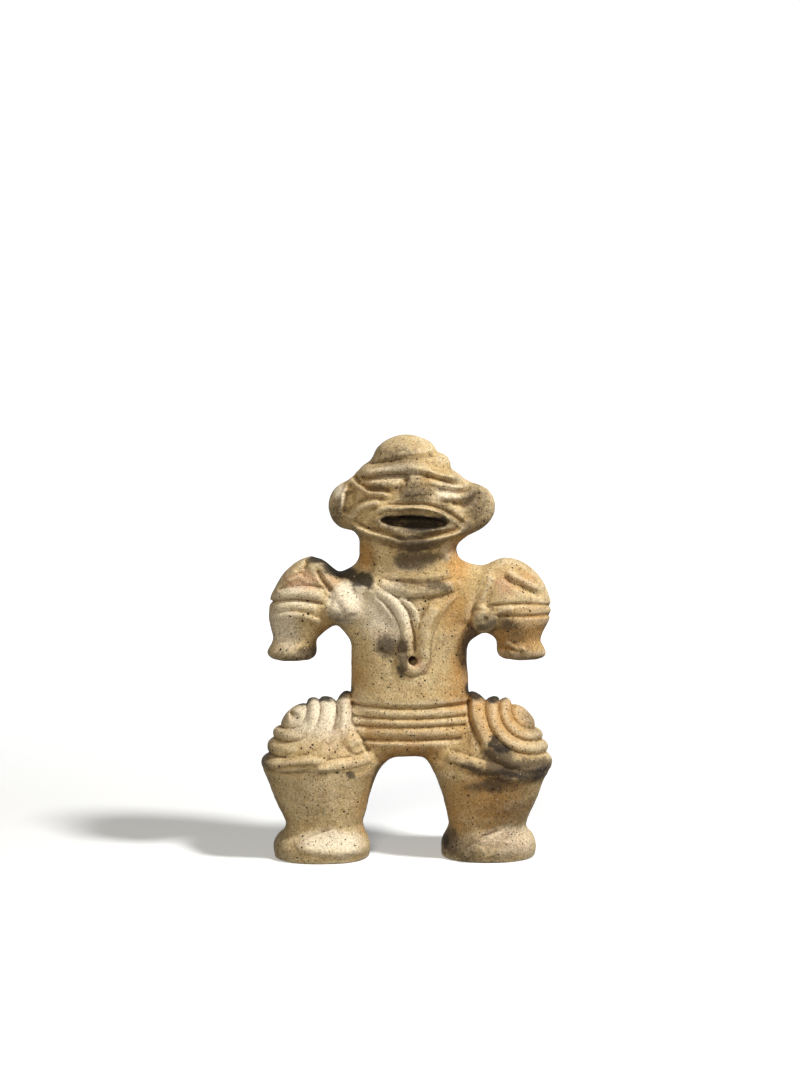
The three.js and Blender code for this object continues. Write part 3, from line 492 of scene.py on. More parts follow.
def ledge_relief(x, z):
    relief = np.zeros_like(x)
    for near, (away, share, left), width, height in near_strokes(x, z, "ledges"):
        signed = np.where(left, away, -away)
        step = smooth_step(*LEDGE_RISE, signed) * (1 - smooth_step(LEDGE_TOP, width, signed))
        relief[near] += (height * step * smooth_step(0, LEDGE_TAPER, share)
                         * (1 - smooth_step(1 - LEDGE_TAPER, 1, share)))
    return relief


def belt_relief(x, z):
    bend = ((x - BODY_MIDDLE) / BELT_HALF_LENGTH) ** 2
    heights = [h + (BELT_SAG - BELT_SAG_STEP * i) * bend for i, h in enumerate(BELT_GROOVES)]
    left, right = (np.interp(z, BELT_HEIGHTS, ends) for ends in (BELT_LEFT_ENDS, BELT_RIGHT_ENDS))
    ends = (smooth_step(left - BELT_END_OUTSIDE, left + BELT_END_INSIDE, x)
            * (1 - smooth_step(right - BELT_END_INSIDE, right + BELT_END_OUTSIDE, x)))
    away = np.maximum(z - heights[0], heights[-1] - z)
    relief = np.where(away > 0, -(1 - smooth_step(0, BELT_RIM, away)), 0)
    for top, bottom in zip(heights[:-1], heights[1:]):
        inside = (z <= top) & (z >= bottom)
        across = 2 * (z - bottom) / (top - bottom) - 1
        relief = np.where(inside, half_round(across) - 1, relief)
    nick = 0.5 + 0.5 * np.sin(2 * np.pi * (x + CORD_MARKS["slant"] * z) / CORD_MARKS["spacing"])
    above = z - heights[-1]
    marks = (CORD_MARKS["depth"] * smooth_step(*CORD_MARKS["start"], x) * nick
             * (above > 0) * half_round(np.minimum(above, 1)))
    return ends * (BELT_RELIEF * relief - marks)


def ring_relief(x, y, z, rings):
    dx, dz = x - rings["pole"][0], z - rings["pole"][1]
    radius = np.hypot(dx, dz)
    relief = np.zeros_like(x)
    inner = -rings["grooves"][0] * RING_CORE
    for groove in rings["grooves"]:
        across = 2 * (radius - inner) / (groove - inner) - 1
        relief = np.maximum(relief, np.where((radius >= inner) & (radius <= groove), half_round(across), 0))
        inner = groove
    direction = np.abs(np.arctan2(dz, dx) - rings["worn"])
    kept = 1 - rings["wear"] * (1 - smooth_step(*RING_WEAR_EDGE, direction))
    front = 1 - (1 - RING_BACK_RELIEF) * smooth_step(*RING_BACK_START, y)
    return RING_RELIEF * kept * front * relief * (z < RING_TOP)


def sleeve_relief(x, z):
    depth = np.zeros_like(x)
    for groove in SLEEVE_GROOVES:
        across = x * groove["side"] - ARM_SPREAD
        height = groove["height"] - groove["droop"] * (across / SLEEVE_DROOP_REACH) ** 2
        near = 1 - smooth_step(0, SLEEVE_GROOVE_HALF_WIDTH, np.abs(z - height))
        depth = np.maximum(depth, groove["depth"] * near * smooth_step(*SLEEVE_GROOVE_START, across))
    return -depth


NOISE_SIZE = 24
NOISE_SEED = 11
NOISE = np.random.default_rng(NOISE_SEED).uniform(-1, 1, (NOISE_SIZE, NOISE_SIZE, NOISE_SIZE))
NOISE_AXES = np.array([[0.73, 0.48, -0.49], [-0.62, 0.76, -0.18], [0.29, 0.44, 0.85]])


def wobble(x, y, z, size):
    """Smooth random unevenness, from -1 to 1, with lumps of about the size."""
    at = NOISE_AXES @ np.stack([x, y, z]) / size
    cell = np.floor(at).astype(int)
    part = at - cell
    part = part * part * (3 - 2 * part)
    total = np.zeros_like(x)
    for corner in range(8):
        step = np.array([corner & 1, corner >> 1 & 1, corner >> 2])[:, None]
        weight = np.prod(np.where(step == 1, part, 1 - part), axis=0)
        i, j, k = (cell + step) % NOISE_SIZE
        total += weight * NOISE[i, j, k]
    return total


# The lumps of the hand work, as (height, size, shift in x, shift in y)
HAND_LUMPS = [(0.34, 11, 0, 0), (0.17, 4.2, 50, 0), (0.09, 1.9, 0, 50)]


def hand_work(x, y, z):
    """The unevenness that fingers and a smoothing tool leave in the clay."""
    return sum(height * wobble(x + dx, y + dy, z, size) for height, size, dx, dy in HAND_LUMPS)


def carving(x, y, z, downward):
    """How far the carving raises or lowers the surface. Downward is by what share it faces the ground."""
    clay = hand_work(x, y, z)
    z = z + (LAYOUT_DEPTH - np.abs(y)) * (EYE_HEIGHT - z) / EYE_DISTANCE
    relief = clay + belt_relief(x, z) + sleeve_relief(x, z)
    for rings in THIGH_RINGS:
        relief += ring_relief(x, y, z, rings)
    front = (1 - smooth_step(*FRONT_FADE, y)) * (1 - smooth_step(*UNDERSIDE_FADE, downward))
    raised = stroke_relief(x, z, "rolls", half_round) + stroke_relief(x, z, "swellings", swollen)
    lowered = stroke_relief(x, z, "grooves", scooped)
    for px, pz, radius, depth in PITS:
        lowered = np.maximum(lowered, depth * half_round(np.minimum(np.hypot(x - px, z - pz) / radius, 1)))
    return relief + front * (raised - lowered + ledge_relief(x, z))


def figure(x, y, z):
    """The carved form, as a distance: the plain form divided by its slope, less the carving and the mouth."""
    plain = body(x, y, z)
    rise = (body(x, y, z + SLOPE_STEP) - plain) / SLOPE_STEP
    slope = np.sqrt(
        (body(x + SLOPE_STEP, y, z) - plain) ** 2
        + (body(x, y + SLOPE_STEP, z) - plain) ** 2) / SLOPE_STEP
    slope = np.maximum(np.hypot(slope, rise), LEAST_SLOPE)
    clay = plain / slope - carving(x, y, z, -rise / slope)
    level = z - MOUTH_TILT * (x - MOUTH_BOWL["x"])
    clay = cut_away(clay, mass(x, y, level, MOUTH_BOWL), MOUTH_EDGE)
    return cut_away(clay, mass(x, y, level, MOUTH_SLIT), MOUTH_EDGE)


# The finest grid's cell and corners. The first grid is coarser by both steps together. Each step in turn
# makes it finer, and then the distance is worked out in full within a band on both sides of the surface.
CELL = 0.55
SCENE_LOW = np.array([-63.0, -26.5, -3.0])
SCENE_HIGH = np.array([63.0, 24.0, 173.0])
GRID_STEPS = (3, 3)
GRID_BANDS = (13.0, 1.5)
PINCH_ROUNDS = 8
JUST_INSIDE = -0.01
MOST_TRIANGLES = 196000


def upsample(rough, counts, coarse):
    """The values on a finer grid, filled in evenly between those of a rough one."""
    for axis in range(3):
        rough = np.moveaxis(rough, axis, 0)
        at = np.arange(counts[axis]) / coarse
        i = np.minimum(at.astype(int), rough.shape[0] - 2)
        t = (at - i).reshape(-1, 1, 1)
        rough = np.moveaxis(rough[i] * (1 - t) + rough[i + 1] * t, 0, axis)
    return rough


def dense_values(low, high, cell):
    """The distance on a grid. It is worked out in full near the surface, and only roughly elsewhere."""
    whole = math.prod(GRID_STEPS)
    rough_counts = [int(np.ceil((b - a) / cell / whole)) + 1 for a, b in zip(low, high)]
    axes = [a + cell * whole * np.arange(n) for a, n in zip(low, rough_counts)]
    grid = np.meshgrid(*axes, indexing="ij")
    values = body(*[g.ravel() for g in grid]).reshape(grid[0].shape)
    step = cell * whole
    for finer, band in zip(GRID_STEPS, GRID_BANDS):
        step /= finer
        counts = [(n - 1) * finer + 1 for n in values.shape]
        values = upsample(values, counts, finer)
        axes = [a + step * np.arange(n) for a, n in zip(low, counts)]
        near = np.nonzero(np.abs(values) < band)
        places = [axes[k][near[k]] for k in range(3)]
        values[near] = figure(*places)
    return axes, values


def settle_pinches(values):
    """Fills in a corner of each grid face where two sheets of the surface would touch along an edge."""
    for _ in range(PINCH_ROUNDS):
        found = 0
        for axis in range(3):
            layers = np.moveaxis(values, axis, 0)
            inside = layers < 0
            a, b = inside[:, :-1, :-1], inside[:, 1:, 1:]
            c, d = inside[:, :-1, 1:], inside[:, 1:, :-1]
            crossed = np.argwhere((a == b) & (c == d) & (a != c))
            for i, j, k in crossed:
                corners = [(i, j, k), (i, j + 1, k + 1), (i, j, k + 1), (i, j + 1, k)]
                nearest = min((p for p in corners if layers[p] >= 0), key=lambda p: layers[p], default=None)
                if nearest is not None:
                    layers[nearest] = JUST_INSIDE
            found += len(crossed)
        if not found:
            return


def surface_nets(axes, values, cell):
    """One point in each cell that the surface crosses, and a quad over each grid edge that crosses it."""
    inside = values < 0
    corners = np.array([[i, j, k] for i in (0, 1) for j in (0, 1) for k in (0, 1)])
    n = np.array(values.shape)
    count = np.zeros(n - 1, np.int8)
    for i, j, k in corners:
        count += inside[i:n[0] - 1 + i, j:n[1] - 1 + j, k:n[2] - 1 + k]
    cells = np.argwhere((count > 0) & (count < 8))
    number = -np.ones(n - 1, np.int64)
    number[tuple(cells.T)] = np.arange(len(cells))
    total = np.zeros((len(cells), 3))
    hits = np.zeros(len(cells))
    for a in range(8):
        for b in range(a + 1, 8):
            step = corners[b] - corners[a]
            if np.abs(step).sum() != 1:
                continue
            pa, pb = cells + corners[a], cells + corners[b]
            va, vb = values[tuple(pa.T)], values[tuple(pb.T)]
            crosses = (va < 0) != (vb < 0)
            t = np.where(crosses, va / np.where(crosses, va - vb, 1), 0)
            total += np.where(crosses[:, None], pa + t[:, None] * step, 0)
            hits += crosses
    points = total / hits[:, None] * cell + np.array([axis[0] for axis in axes])
    faces = []
    for axis in range(3):
        step = np.zeros(3, int)
        step[axis] = 1
        u, v = np.zeros(3, int), np.zeros(3, int)
        u[(axis + 1) % 3] = 1
        v[(axis + 2) % 3] = 1
        lowest = inside[:n[0] - step[0], :n[1] - step[1], :n[2] - step[2]]
        highest = inside[step[0]:, step[1]:, step[2]:]
        edges = np.argwhere(lowest != highest)
        keep = (edges[:, (axis + 1) % 3] > 0) & (edges[:, (axis + 2) % 3] > 0)
        edges = edges[keep]
        ring = [edges - u - v, edges - v, edges, edges - u]
        quad = np.stack([number[tuple(c.T)] for c in ring], axis=1)
        flip = inside[tuple(edges.T)]
        quad[~flip] = quad[~flip][:, ::-1]
        faces.append(quad)
    return points, np.concatenate(faces)


def build_figure():
    """Points and quads of the clay's surface, standing on flat soles at height 0."""
    axes, values = dense_values(SCENE_LOW, SCENE_HIGH, CELL)
    values = np.maximum(values, -axes[2])
    settle_pinches(values)
    points, quads = surface_nets(axes, values, CELL)
    points[:, 2] = np.maximum(points[:, 2], 0)
    return points, quads


points, quads = build_figure()
mesh = bpy.data.meshes.new("dogu_figurine_clay")
mesh.from_pydata((points * MM).tolist(), [], quads.tolist())
mesh.update()
figurine = bpy.data.objects.new("dogu_figurine_clay", mesh)
bpy.context.scene.collection.objects.link(figurine)
bpy.context.view_layer.objects.active = figurine
thin = figurine.modifiers.new("thin", "DECIMATE")
thin.ratio = MOST_TRIANGLES / (2 * len(quads))
with bpy.context.temp_override(object=figurine, active_object=figurine, selected_objects=[figurine]):
    bpy.ops.object.modifier_apply(modifier="thin")


def read_points(name):
    """The place or the normal of each of the mesh's points."""
    values = np.empty(len(mesh.vertices) * 3)
    mesh.vertices.foreach_get(name, values)
    return values.reshape(-1, 3)


# The clay fills the box of the figure's solid, and no more.
low, high = (np.array(corner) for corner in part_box(NODE))
made = read_points("co")
made_low, made_high = made.min(0), made.max(0)
fitted = low + (made - made_low) * (high - low) / (made_high - made_low)
mesh.vertices.foreach_set("co", fitted.ravel())
mesh.shade_smooth()
mesh.update()
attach(figurine, "root")
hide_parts(NODE)


def hollowness(places, rounds):
    """How far each point lies in a hollow: the surface smoothed over, less the surface, along the normal."""
    ends = np.empty(len(mesh.edges) * 2, int)
    mesh.edges.foreach_get("vertices", ends)
    a, b = ends.reshape(-1, 2).T
    count = np.bincount(np.concatenate([a, b]), minlength=len(places))
    smooth = places.copy()
    for _ in range(rounds):
        for axis in range(3):
            total = (np.bincount(a, smooth[b, axis], len(places))
                     + np.bincount(b, smooth[a, axis], len(places)))
            smooth[:, axis] = (smooth[:, axis] + total / count) / 2
    return ((smooth - places) * read_points("normal")).sum(1)


def keep_on_points(name, values):
    mesh.attributes.new(name, "FLOAT", "POINT").data.foreach_set("value", np.asarray(values, np.float32))


# Stains of the fired clay, some of them also painted shade, shadow and highlight, as (x, y, z, x radius, y
# radius, z radius, strength)
# Ochre stains. On the right side, where they are heaviest, they are also painted shade, darkening that side.
OCHRE = [
    (24, 0, 76, 9, 22, 22, 0.9), (26, -4, 66, 14, 20, 10, 0.8), (36, -4, 54, 18, 20, 16, 0.8),
    (-17, -8, 122, 5, 12, 7, 0.9), (21, -6, 118, 6, 14, 12, 0.8), (20, -6, 98, 10, 14, 16, 0.7),
    (-22, -4, 72, 6, 18, 14, 0.6), (2, -8, 42, 16, 20, 8, 0.9), (22, -4, 24, 8, 18, 22, 0.8),
    (34, -10, 24, 16, 16, 12, 0.5), (-16, -2, 26, 6, 16, 20, 0.7), (-28, -14, 40, 22, 10, 4, 0.4),
    (38, -8, 86, 8, 14, 9, 0.9), (52, -4, 96, 8, 12, 12, 0.5), (-34, 0, 92, 7, 12, 7, 0.7),
    (-10, -12, 52, 12, 8, 8, 0.6), (-16, -12, 150, 8, 8, 5, 0.5), (8, -12, 153, 8, 8, 5, 0.3),
    (42.1, -18, 61.5, 3, 5, 2.5, 1.2), (44, -12, 56, 14, 12, 12, 0.6), (48, -8, 92, 14, 14, 14, 0.7),
    (46, -10, 113, 12, 12, 8, 0.5), (34, -12, 28, 18, 16, 18, 0.85), (38, -12, 8, 16, 16, 8, 0.5),
    (2, -12, 52, 24, 10, 8, 0.5), (0, 14, 92, 22, 8, 26, 0.6), (-30, 14, 44, 18, 8, 18, 0.5),
]
# Grey-brown smoke marks of the firing, and painted shade and shadow: the chin's shadow on the neck, the left
# side of the neck, the left eye under the brow, the mouth, under the right thigh's band, under the right
# arm's knob and fold, and the right arm's shadow on the trunk's right side.
SMOKE_AND_PAINTED_SHADE = [
    (3, -17, 136, 15, 6, 6, 1.0), (3.6, -16, 148.4, 7.4, 8, 6, 0.8), (2, -15, 155, 8, 8, 4, 0.5),
    (27, -5, 142, 7, 12, 9, 0.8), (24, -12, 134, 6, 8, 5, 0.7), (3, -12, 128, 10, 8, 3.4, 1.2),
    (3, -12, 120.6, 8, 8, 4.6, 1.25), (12, -12, 121, 7, 8, 2.4, 0.8), (-14, -12, 121, 4, 8, 7, 0.55),
    (-12, -14, 150.4, 8, 8, 2.6, 0.6), (-45, -10, 93, 8, 10, 5, 0.4), (-8, -13, 87, 5, 7, 6, 1.0),
    (-2, -14, 85.5, 2.6, 6, 6, 1.2), (4, -14, 111, 14, 6, 3, 0.6), (-4, -8, 161, 12, 12, 8, 0.65),
    (17, -12, 152.6, 6, 8, 2.6, 0.45), (34, -10, 140, 6, 12, 9, 0.5), (31, -12, 97, 5, 7, 5, 0.8),
    (-27, -11, 99, 6, 6, 4, 0.6), (36, -16, 44, 7, 12, 4, 1.2), (40, -16, 38.4, 13, 14, 4.4, 1.4),
    (51, -12, 37.6, 9, 16, 4.4, 1.3), (27, -16, 38.6, 8, 12, 2.6, 1.0), (35, -16, 32, 11, 12, 4, 1.0),
    (26, -16, 56, 2.4, 6, 10, 0.7), (40, -13, 94, 5.4, 9, 4, 0.9), (31, -14, 94.6, 5, 8, 3, 1.1),
    (13, -14, 111, 7, 8, 3.4, 0.9), (25, -8, 86, 3.4, 9, 14, 0.9), (-1.4, -14, 80, 2.2, 8, 6, 1.4),
    (-38, -10, 84, 8, 12, 3, 1.1), (17, -12, 7.4, 6, 14, 6, 1.3), (-42, -8, 5, 7, 12, 6, 0.7),
    (-34, -16, 20, 6, 8, 7, 0.35), (3, -14, 127.4, 13, 10, 3.4, 0.9), (14, -10, 140, 6, 8, 5, 0.6),
    (-16, -14, 126, 5, 8, 5, 0.5), (-28, -6, 138, 5, 8, 8, 0.7), (-38, -10, 118, 7, 8, 4, 0.4),
    (-42, -10, 81, 14, 12, 5, 0.7), (46, -10, 81, 12, 12, 4, 0.6), (42, -14, 30, 12, 8, 8, 0.6),
    (24, -14, 5, 8, 12, 8, 0.8), (-50, -8, 6, 6, 14, 8, 0.5), (-56, -4, 40, 5, 14, 6, 0.8),
    (-22.8, -18, 35.8, 2.4, 5, 2, 1.2), (40, -12, 22, 14, 12, 12, 0.6), (36, -14, 6, 14, 12, 6, 0.6),
    (52, -8, 60, 6, 12, 12, 0.6), (30, -8, 134, 8, 12, 8, 0.6), (44, -12, 88, 8, 10, 6, 0.5),
    (10, 15, 60, 14, 6, 14, 0.8), (-12, 14, 138, 14, 8, 12, 0.8),
]
# Pale patches of the clay. The strongest, on the left arm's inner bulge, and those on the chest are also
# painted highlight.
PALE = [
    (-24, -12, 104, 7, 9, 9, 1.5), (-34, -12, 60, 18, 14, 14, 0.9), (-36, -14, 30, 16, 14, 16, 0.4),
    (40, -14, 9, 14, 16, 6, 0.9), (-30, -16, 8, 16, 14, 6, 0.85), (-50, -8, 94, 8, 14, 12, 0.8),
    (-44, -10, 106, 12, 12, 6, 0.7), (18, -8, 124, 5, 8, 5, 0.6), (48, -6, 116, 12, 12, 8, 0.15),
    (-8, -13, 100, 14, 8, 14, 0.9), (-2, -13, 118, 14, 8, 3, 0.4), (0, -13, 72, 20, 8, 8, 0.15),
    (16, -14, 148, 8, 8, 5, 0.7), (-6, -14, 156, 14, 8, 4, 0.6), (-27, -6, 147, 4, 8, 6, 0.9),
    (0, 12, 110, 24, 8, 10, 0.5),
]
ROSE = [
    (-42, -10, 113, 8, 10, 4, 1.2), (-31, -12, 112, 4, 8, 5, 0.7), (38.6, -12, 110, 5, 8, 5, 0.9),
    (49, -10, 113, 5, 10, 3, 0.6), (-27, -16, 50, 9, 8, 12, 0.4), (6, -14, 79, 4, 6, 4, 0.8),
    (-10, -13, 92, 6, 6, 4, 0.5),
]
# Nearly black soot, and painted shadow and shade: the head's shadow on the left shoulder, the shadows of the
# arms and trunk on the thighs' tops, and the shade inside the mouth, in the deep pit and under the right
# thigh's band
SOOT_AND_PAINTED_SHADOW = [
    (3, -12, 136.4, 15, 7.4, 2.6, 1.6), (34.6, -19, 49, 3.2, 5, 2.4, 1.3),
    (38, -17, 46.8, 2.8, 8, 2.2, 1.2), (2.5, -9.6, 81, 2.6, 3.2, 2.6, 1.6),
    (-35, 0, 120.4, 4, 9, 2.8, 1.2), (-30, -3, 117.2, 5, 9, 3.4, 1.3), (-24.6, -5, 115.4, 5, 9, 3, 1.3),
    (-20, -7, 113.4, 4, 8, 2.8, 1.2), (-17.6, -9, 111.4, 4.6, 8, 3.4, 1.4), (40, -16, 37, 9, 12, 2, 0.9),
    (14, -12, 7, 3, 14, 5, 0.8), (-42, 3, 63.4, 6, 10, 3.4, 1.5), (-33.6, 4, 65.8, 6, 12, 3.2, 1.6),
    (-25, 3, 67, 5, 12, 3.4, 1.8), (27, 3, 67.4, 6, 12, 3.6, 1.8), (36, 3, 65.2, 6, 12, 3.4, 1.7),
    (52, -8, 36.6, 8, 14, 2.6, 0.9), (38, -16, 34.6, 7, 9, 2, 0.6),
]


# Uneven edges of the stains and painted shade: how far they are pushed about, by lumps of what size
EDGE_PUSH, EDGE_SIZE = 1.8, 6
FRAY_PUSH, FRAY_SIZE = 0.8, 2.6
PATCH_FALL = 1.5
# How often the surface is smoothed over to find narrow and broad hollows, which the colour darkens with soil
# and painted shade
HOLLOW_ROUNDS = dict(hollow=12, broad_hollow=80)


def patch_strength(x, y, z, patches):
    """How strongly the stains of one kind, painted shade among them, mark each point, with uneven edges."""
    x = x + EDGE_PUSH * wobble(x, y, z, EDGE_SIZE) + FRAY_PUSH * wobble(x, z, y, FRAY_SIZE)
    z = z + EDGE_PUSH * wobble(y, z, x, EDGE_SIZE) + FRAY_PUSH * wobble(z, x, y, FRAY_SIZE)
    total = np.zeros_like(x)
    for sx, sy, sz, rx, ry, rz, strength in patches:
        away = ((x - sx) / rx) ** 2 + ((y - sy) / ry) ** 2 + ((z - sz) / rz) ** 2
        total = np.maximum(total, strength * np.exp(-away ** PATCH_FALL))
    return total


at = made / MM
for name, rounds in HOLLOW_ROUNDS.items():
    keep_on_points(name, hollowness(at, rounds))
for name, patches in dict(ochre=OCHRE, smoke_and_shade=SMOKE_AND_PAINTED_SHADE, pale=PALE, rose=ROSE, soot_and_shadow=SOOT_AND_PAINTED_SHADOW).items():
    keep_on_points(name, patch_strength(*at.T, patches))


class Nodes:
    """A short way to write a material's nodes."""

    def __init__(self, tree):
        self.tree = tree
        self.place = self.add("ShaderNodeTexCoord").outputs["Object"]

    def add(self, kind, **settings):
        node = self.tree.nodes.new(kind)
        for name, value in settings.items():
            setattr(node, name, value)
        return node

    def put(self, socket, value):
        if isinstance(value, bpy.types.NodeSocket):
            self.tree.links.new(value, socket)
        else:
            socket.default_value = value

    def attribute(self, name):
        return self.add("ShaderNodeAttribute", attribute_name=name).outputs["Fac"]

    def noise(self, size, detail=3.0, roughness=0.6, distortion=0.0, colour=False):
        """Noise with lumps of a size in millimetres, from 0 to 1."""
        node = self.add("ShaderNodeTexNoise")
        self.put(node.inputs["Vector"], self.place)
        self.put(node.inputs["Scale"], 1 / (size * MM))
        self.put(node.inputs["Detail"], detail)
        self.put(node.inputs["Roughness"], roughness)
        self.put(node.inputs["Distortion"], distortion)
        return node.outputs["Color" if colour else "Fac"]

    def ragged(self, size, reach):
        """The place, pushed about by up to a reach in millimetres, to make ragged outlines."""
        push = self.add("ShaderNodeVectorMath", operation="MULTIPLY_ADD")
        self.put(push.inputs[0], self.noise(size, detail=2.0, colour=True))
        self.put(push.inputs[1], (2 * reach * MM,) * 3)
        self.put(push.inputs[2], self.place)
        return push.outputs[0]

    def grains(self, spacing, place=None):
        """Distance to the nearest of scattered grains, as a share of their spacing, and random shades."""
        node = self.add("ShaderNodeTexVoronoi")
        self.put(node.inputs["Vector"], place or self.place)
        self.put(node.inputs["Scale"], 1 / (spacing * MM))
        split = self.add("ShaderNodeSeparateColor")
        self.put(split.inputs[0], node.outputs["Color"])
        return node.outputs["Distance"], split.outputs

    def math(self, operation, a, b=0.0, c=0.0):
        node = self.add("ShaderNodeMath", operation=operation)
        for socket, value in zip(node.inputs, (a, b, c)):
            self.put(socket, value)
        return node.outputs[0]

    def span(self, value, start, end, low=0.0, high=1.0):
        """A smooth step between two values."""
        node = self.add("ShaderNodeMapRange", interpolation_type="SMOOTHSTEP")
        for name, number in (("Value", value), ("From Min", start), ("From Max", end),
                             ("To Min", low), ("To Max", high)):
            self.put(node.inputs[name], number)
        return node.outputs["Result"]

    def mix(self, share, a, b, blend="MIX"):
        node = self.add("ShaderNodeMix", data_type="RGBA", blend_type=blend)
        sockets = [s for s in node.inputs if s.type == "RGBA"]
        self.put(node.inputs[0], share)
        for socket, value in zip(sockets, (a, b)):
            self.put(socket, value)
        return [s for s in node.outputs if s.type == "RGBA"][0]

    def grey(self, value):
        node = self.add("ShaderNodeCombineColor")
        for socket in node.inputs:
            self.put(socket, value)
        return node.outputs[0]


def rgb(red, green, blue):
    """A shader colour from 0 to 255 screen values."""
    linear = [((v / 255 + 0.055) / 1.055) ** 2.4 for v in (red, green, blue)]
    return (*linear, 1.0)


BUFF, CREAM, TAN = rgb(195, 169, 119), rgb(217, 195, 150), rgb(172, 141, 98)
MOTTLE_COVER = 0.5
# Soil colour that is also painted shade in the hollows, and how much of it covers them
SOIL_AND_SHADE, SOIL_AND_SHADE_COVER = rgb(88, 60, 32), 0.7
RUBBED, RUBBED_COVER = rgb(232, 218, 190), 0.35
# How the stains and painted shade look: colour, most cover, and the size and strength of the noise that frays
# their edges
PATCH_LOOKS = dict(
    pale=(rgb(238, 227, 205), 0.85, 3.0, 0.7),
    rose=(rgb(204, 160, 132), 0.6, 3.0, 0.7),
    ochre=(rgb(188, 138, 72), 0.8, 4.0, 0.7),
    smoke_and_shade=(rgb(74, 62, 49), 0.85, 1.3, 1.3),
    soot_and_shadow=(rgb(28, 22, 18), 0.92, 1.3, 0.9),
)
PATCH_SPAN = (0.08, 0.95)
# Grit, as (spacing, reach of a grain as a share of it, share of the places that hold one, cover, colour)
GRIT = [
    (0.95, 0.42, 0.34, 0.6, rgb(112, 84, 54)),
    (1.1, 0.36, 0.34, 0.85, rgb(52, 39, 28)),
    (1.45, 0.32, 0.36, 0.95, rgb(32, 25, 20)),
    (2.2, 0.27, 0.34, 1.0, rgb(24, 19, 16)),
    (3.6, 0.18, 0.4, 1.0, rgb(22, 17, 14)),
    (1.6, 0.30, 0.28, 0.75, rgb(132, 88, 46)),
    (1.5, 0.28, 0.26, 0.5, rgb(232, 220, 196)),
]
GRAIN_LEAST, GRAIN_MORE = 0.35, 0.65
# Heights of the bumps in millimetres, before their strength
FINE_HEIGHT, ROUGH_HEIGHT, GRIT_HEIGHT, PIT_HEIGHT = 0.24, 0.3, -0.10, -0.25
PIT_SPACING, PIT_REACH, PIT_SHARE = 2.2, 0.26, 0.6
BUMP_STRENGTH, BUMP_SCALE = 0.9, 1.0 * MM
SHINE = 0.3


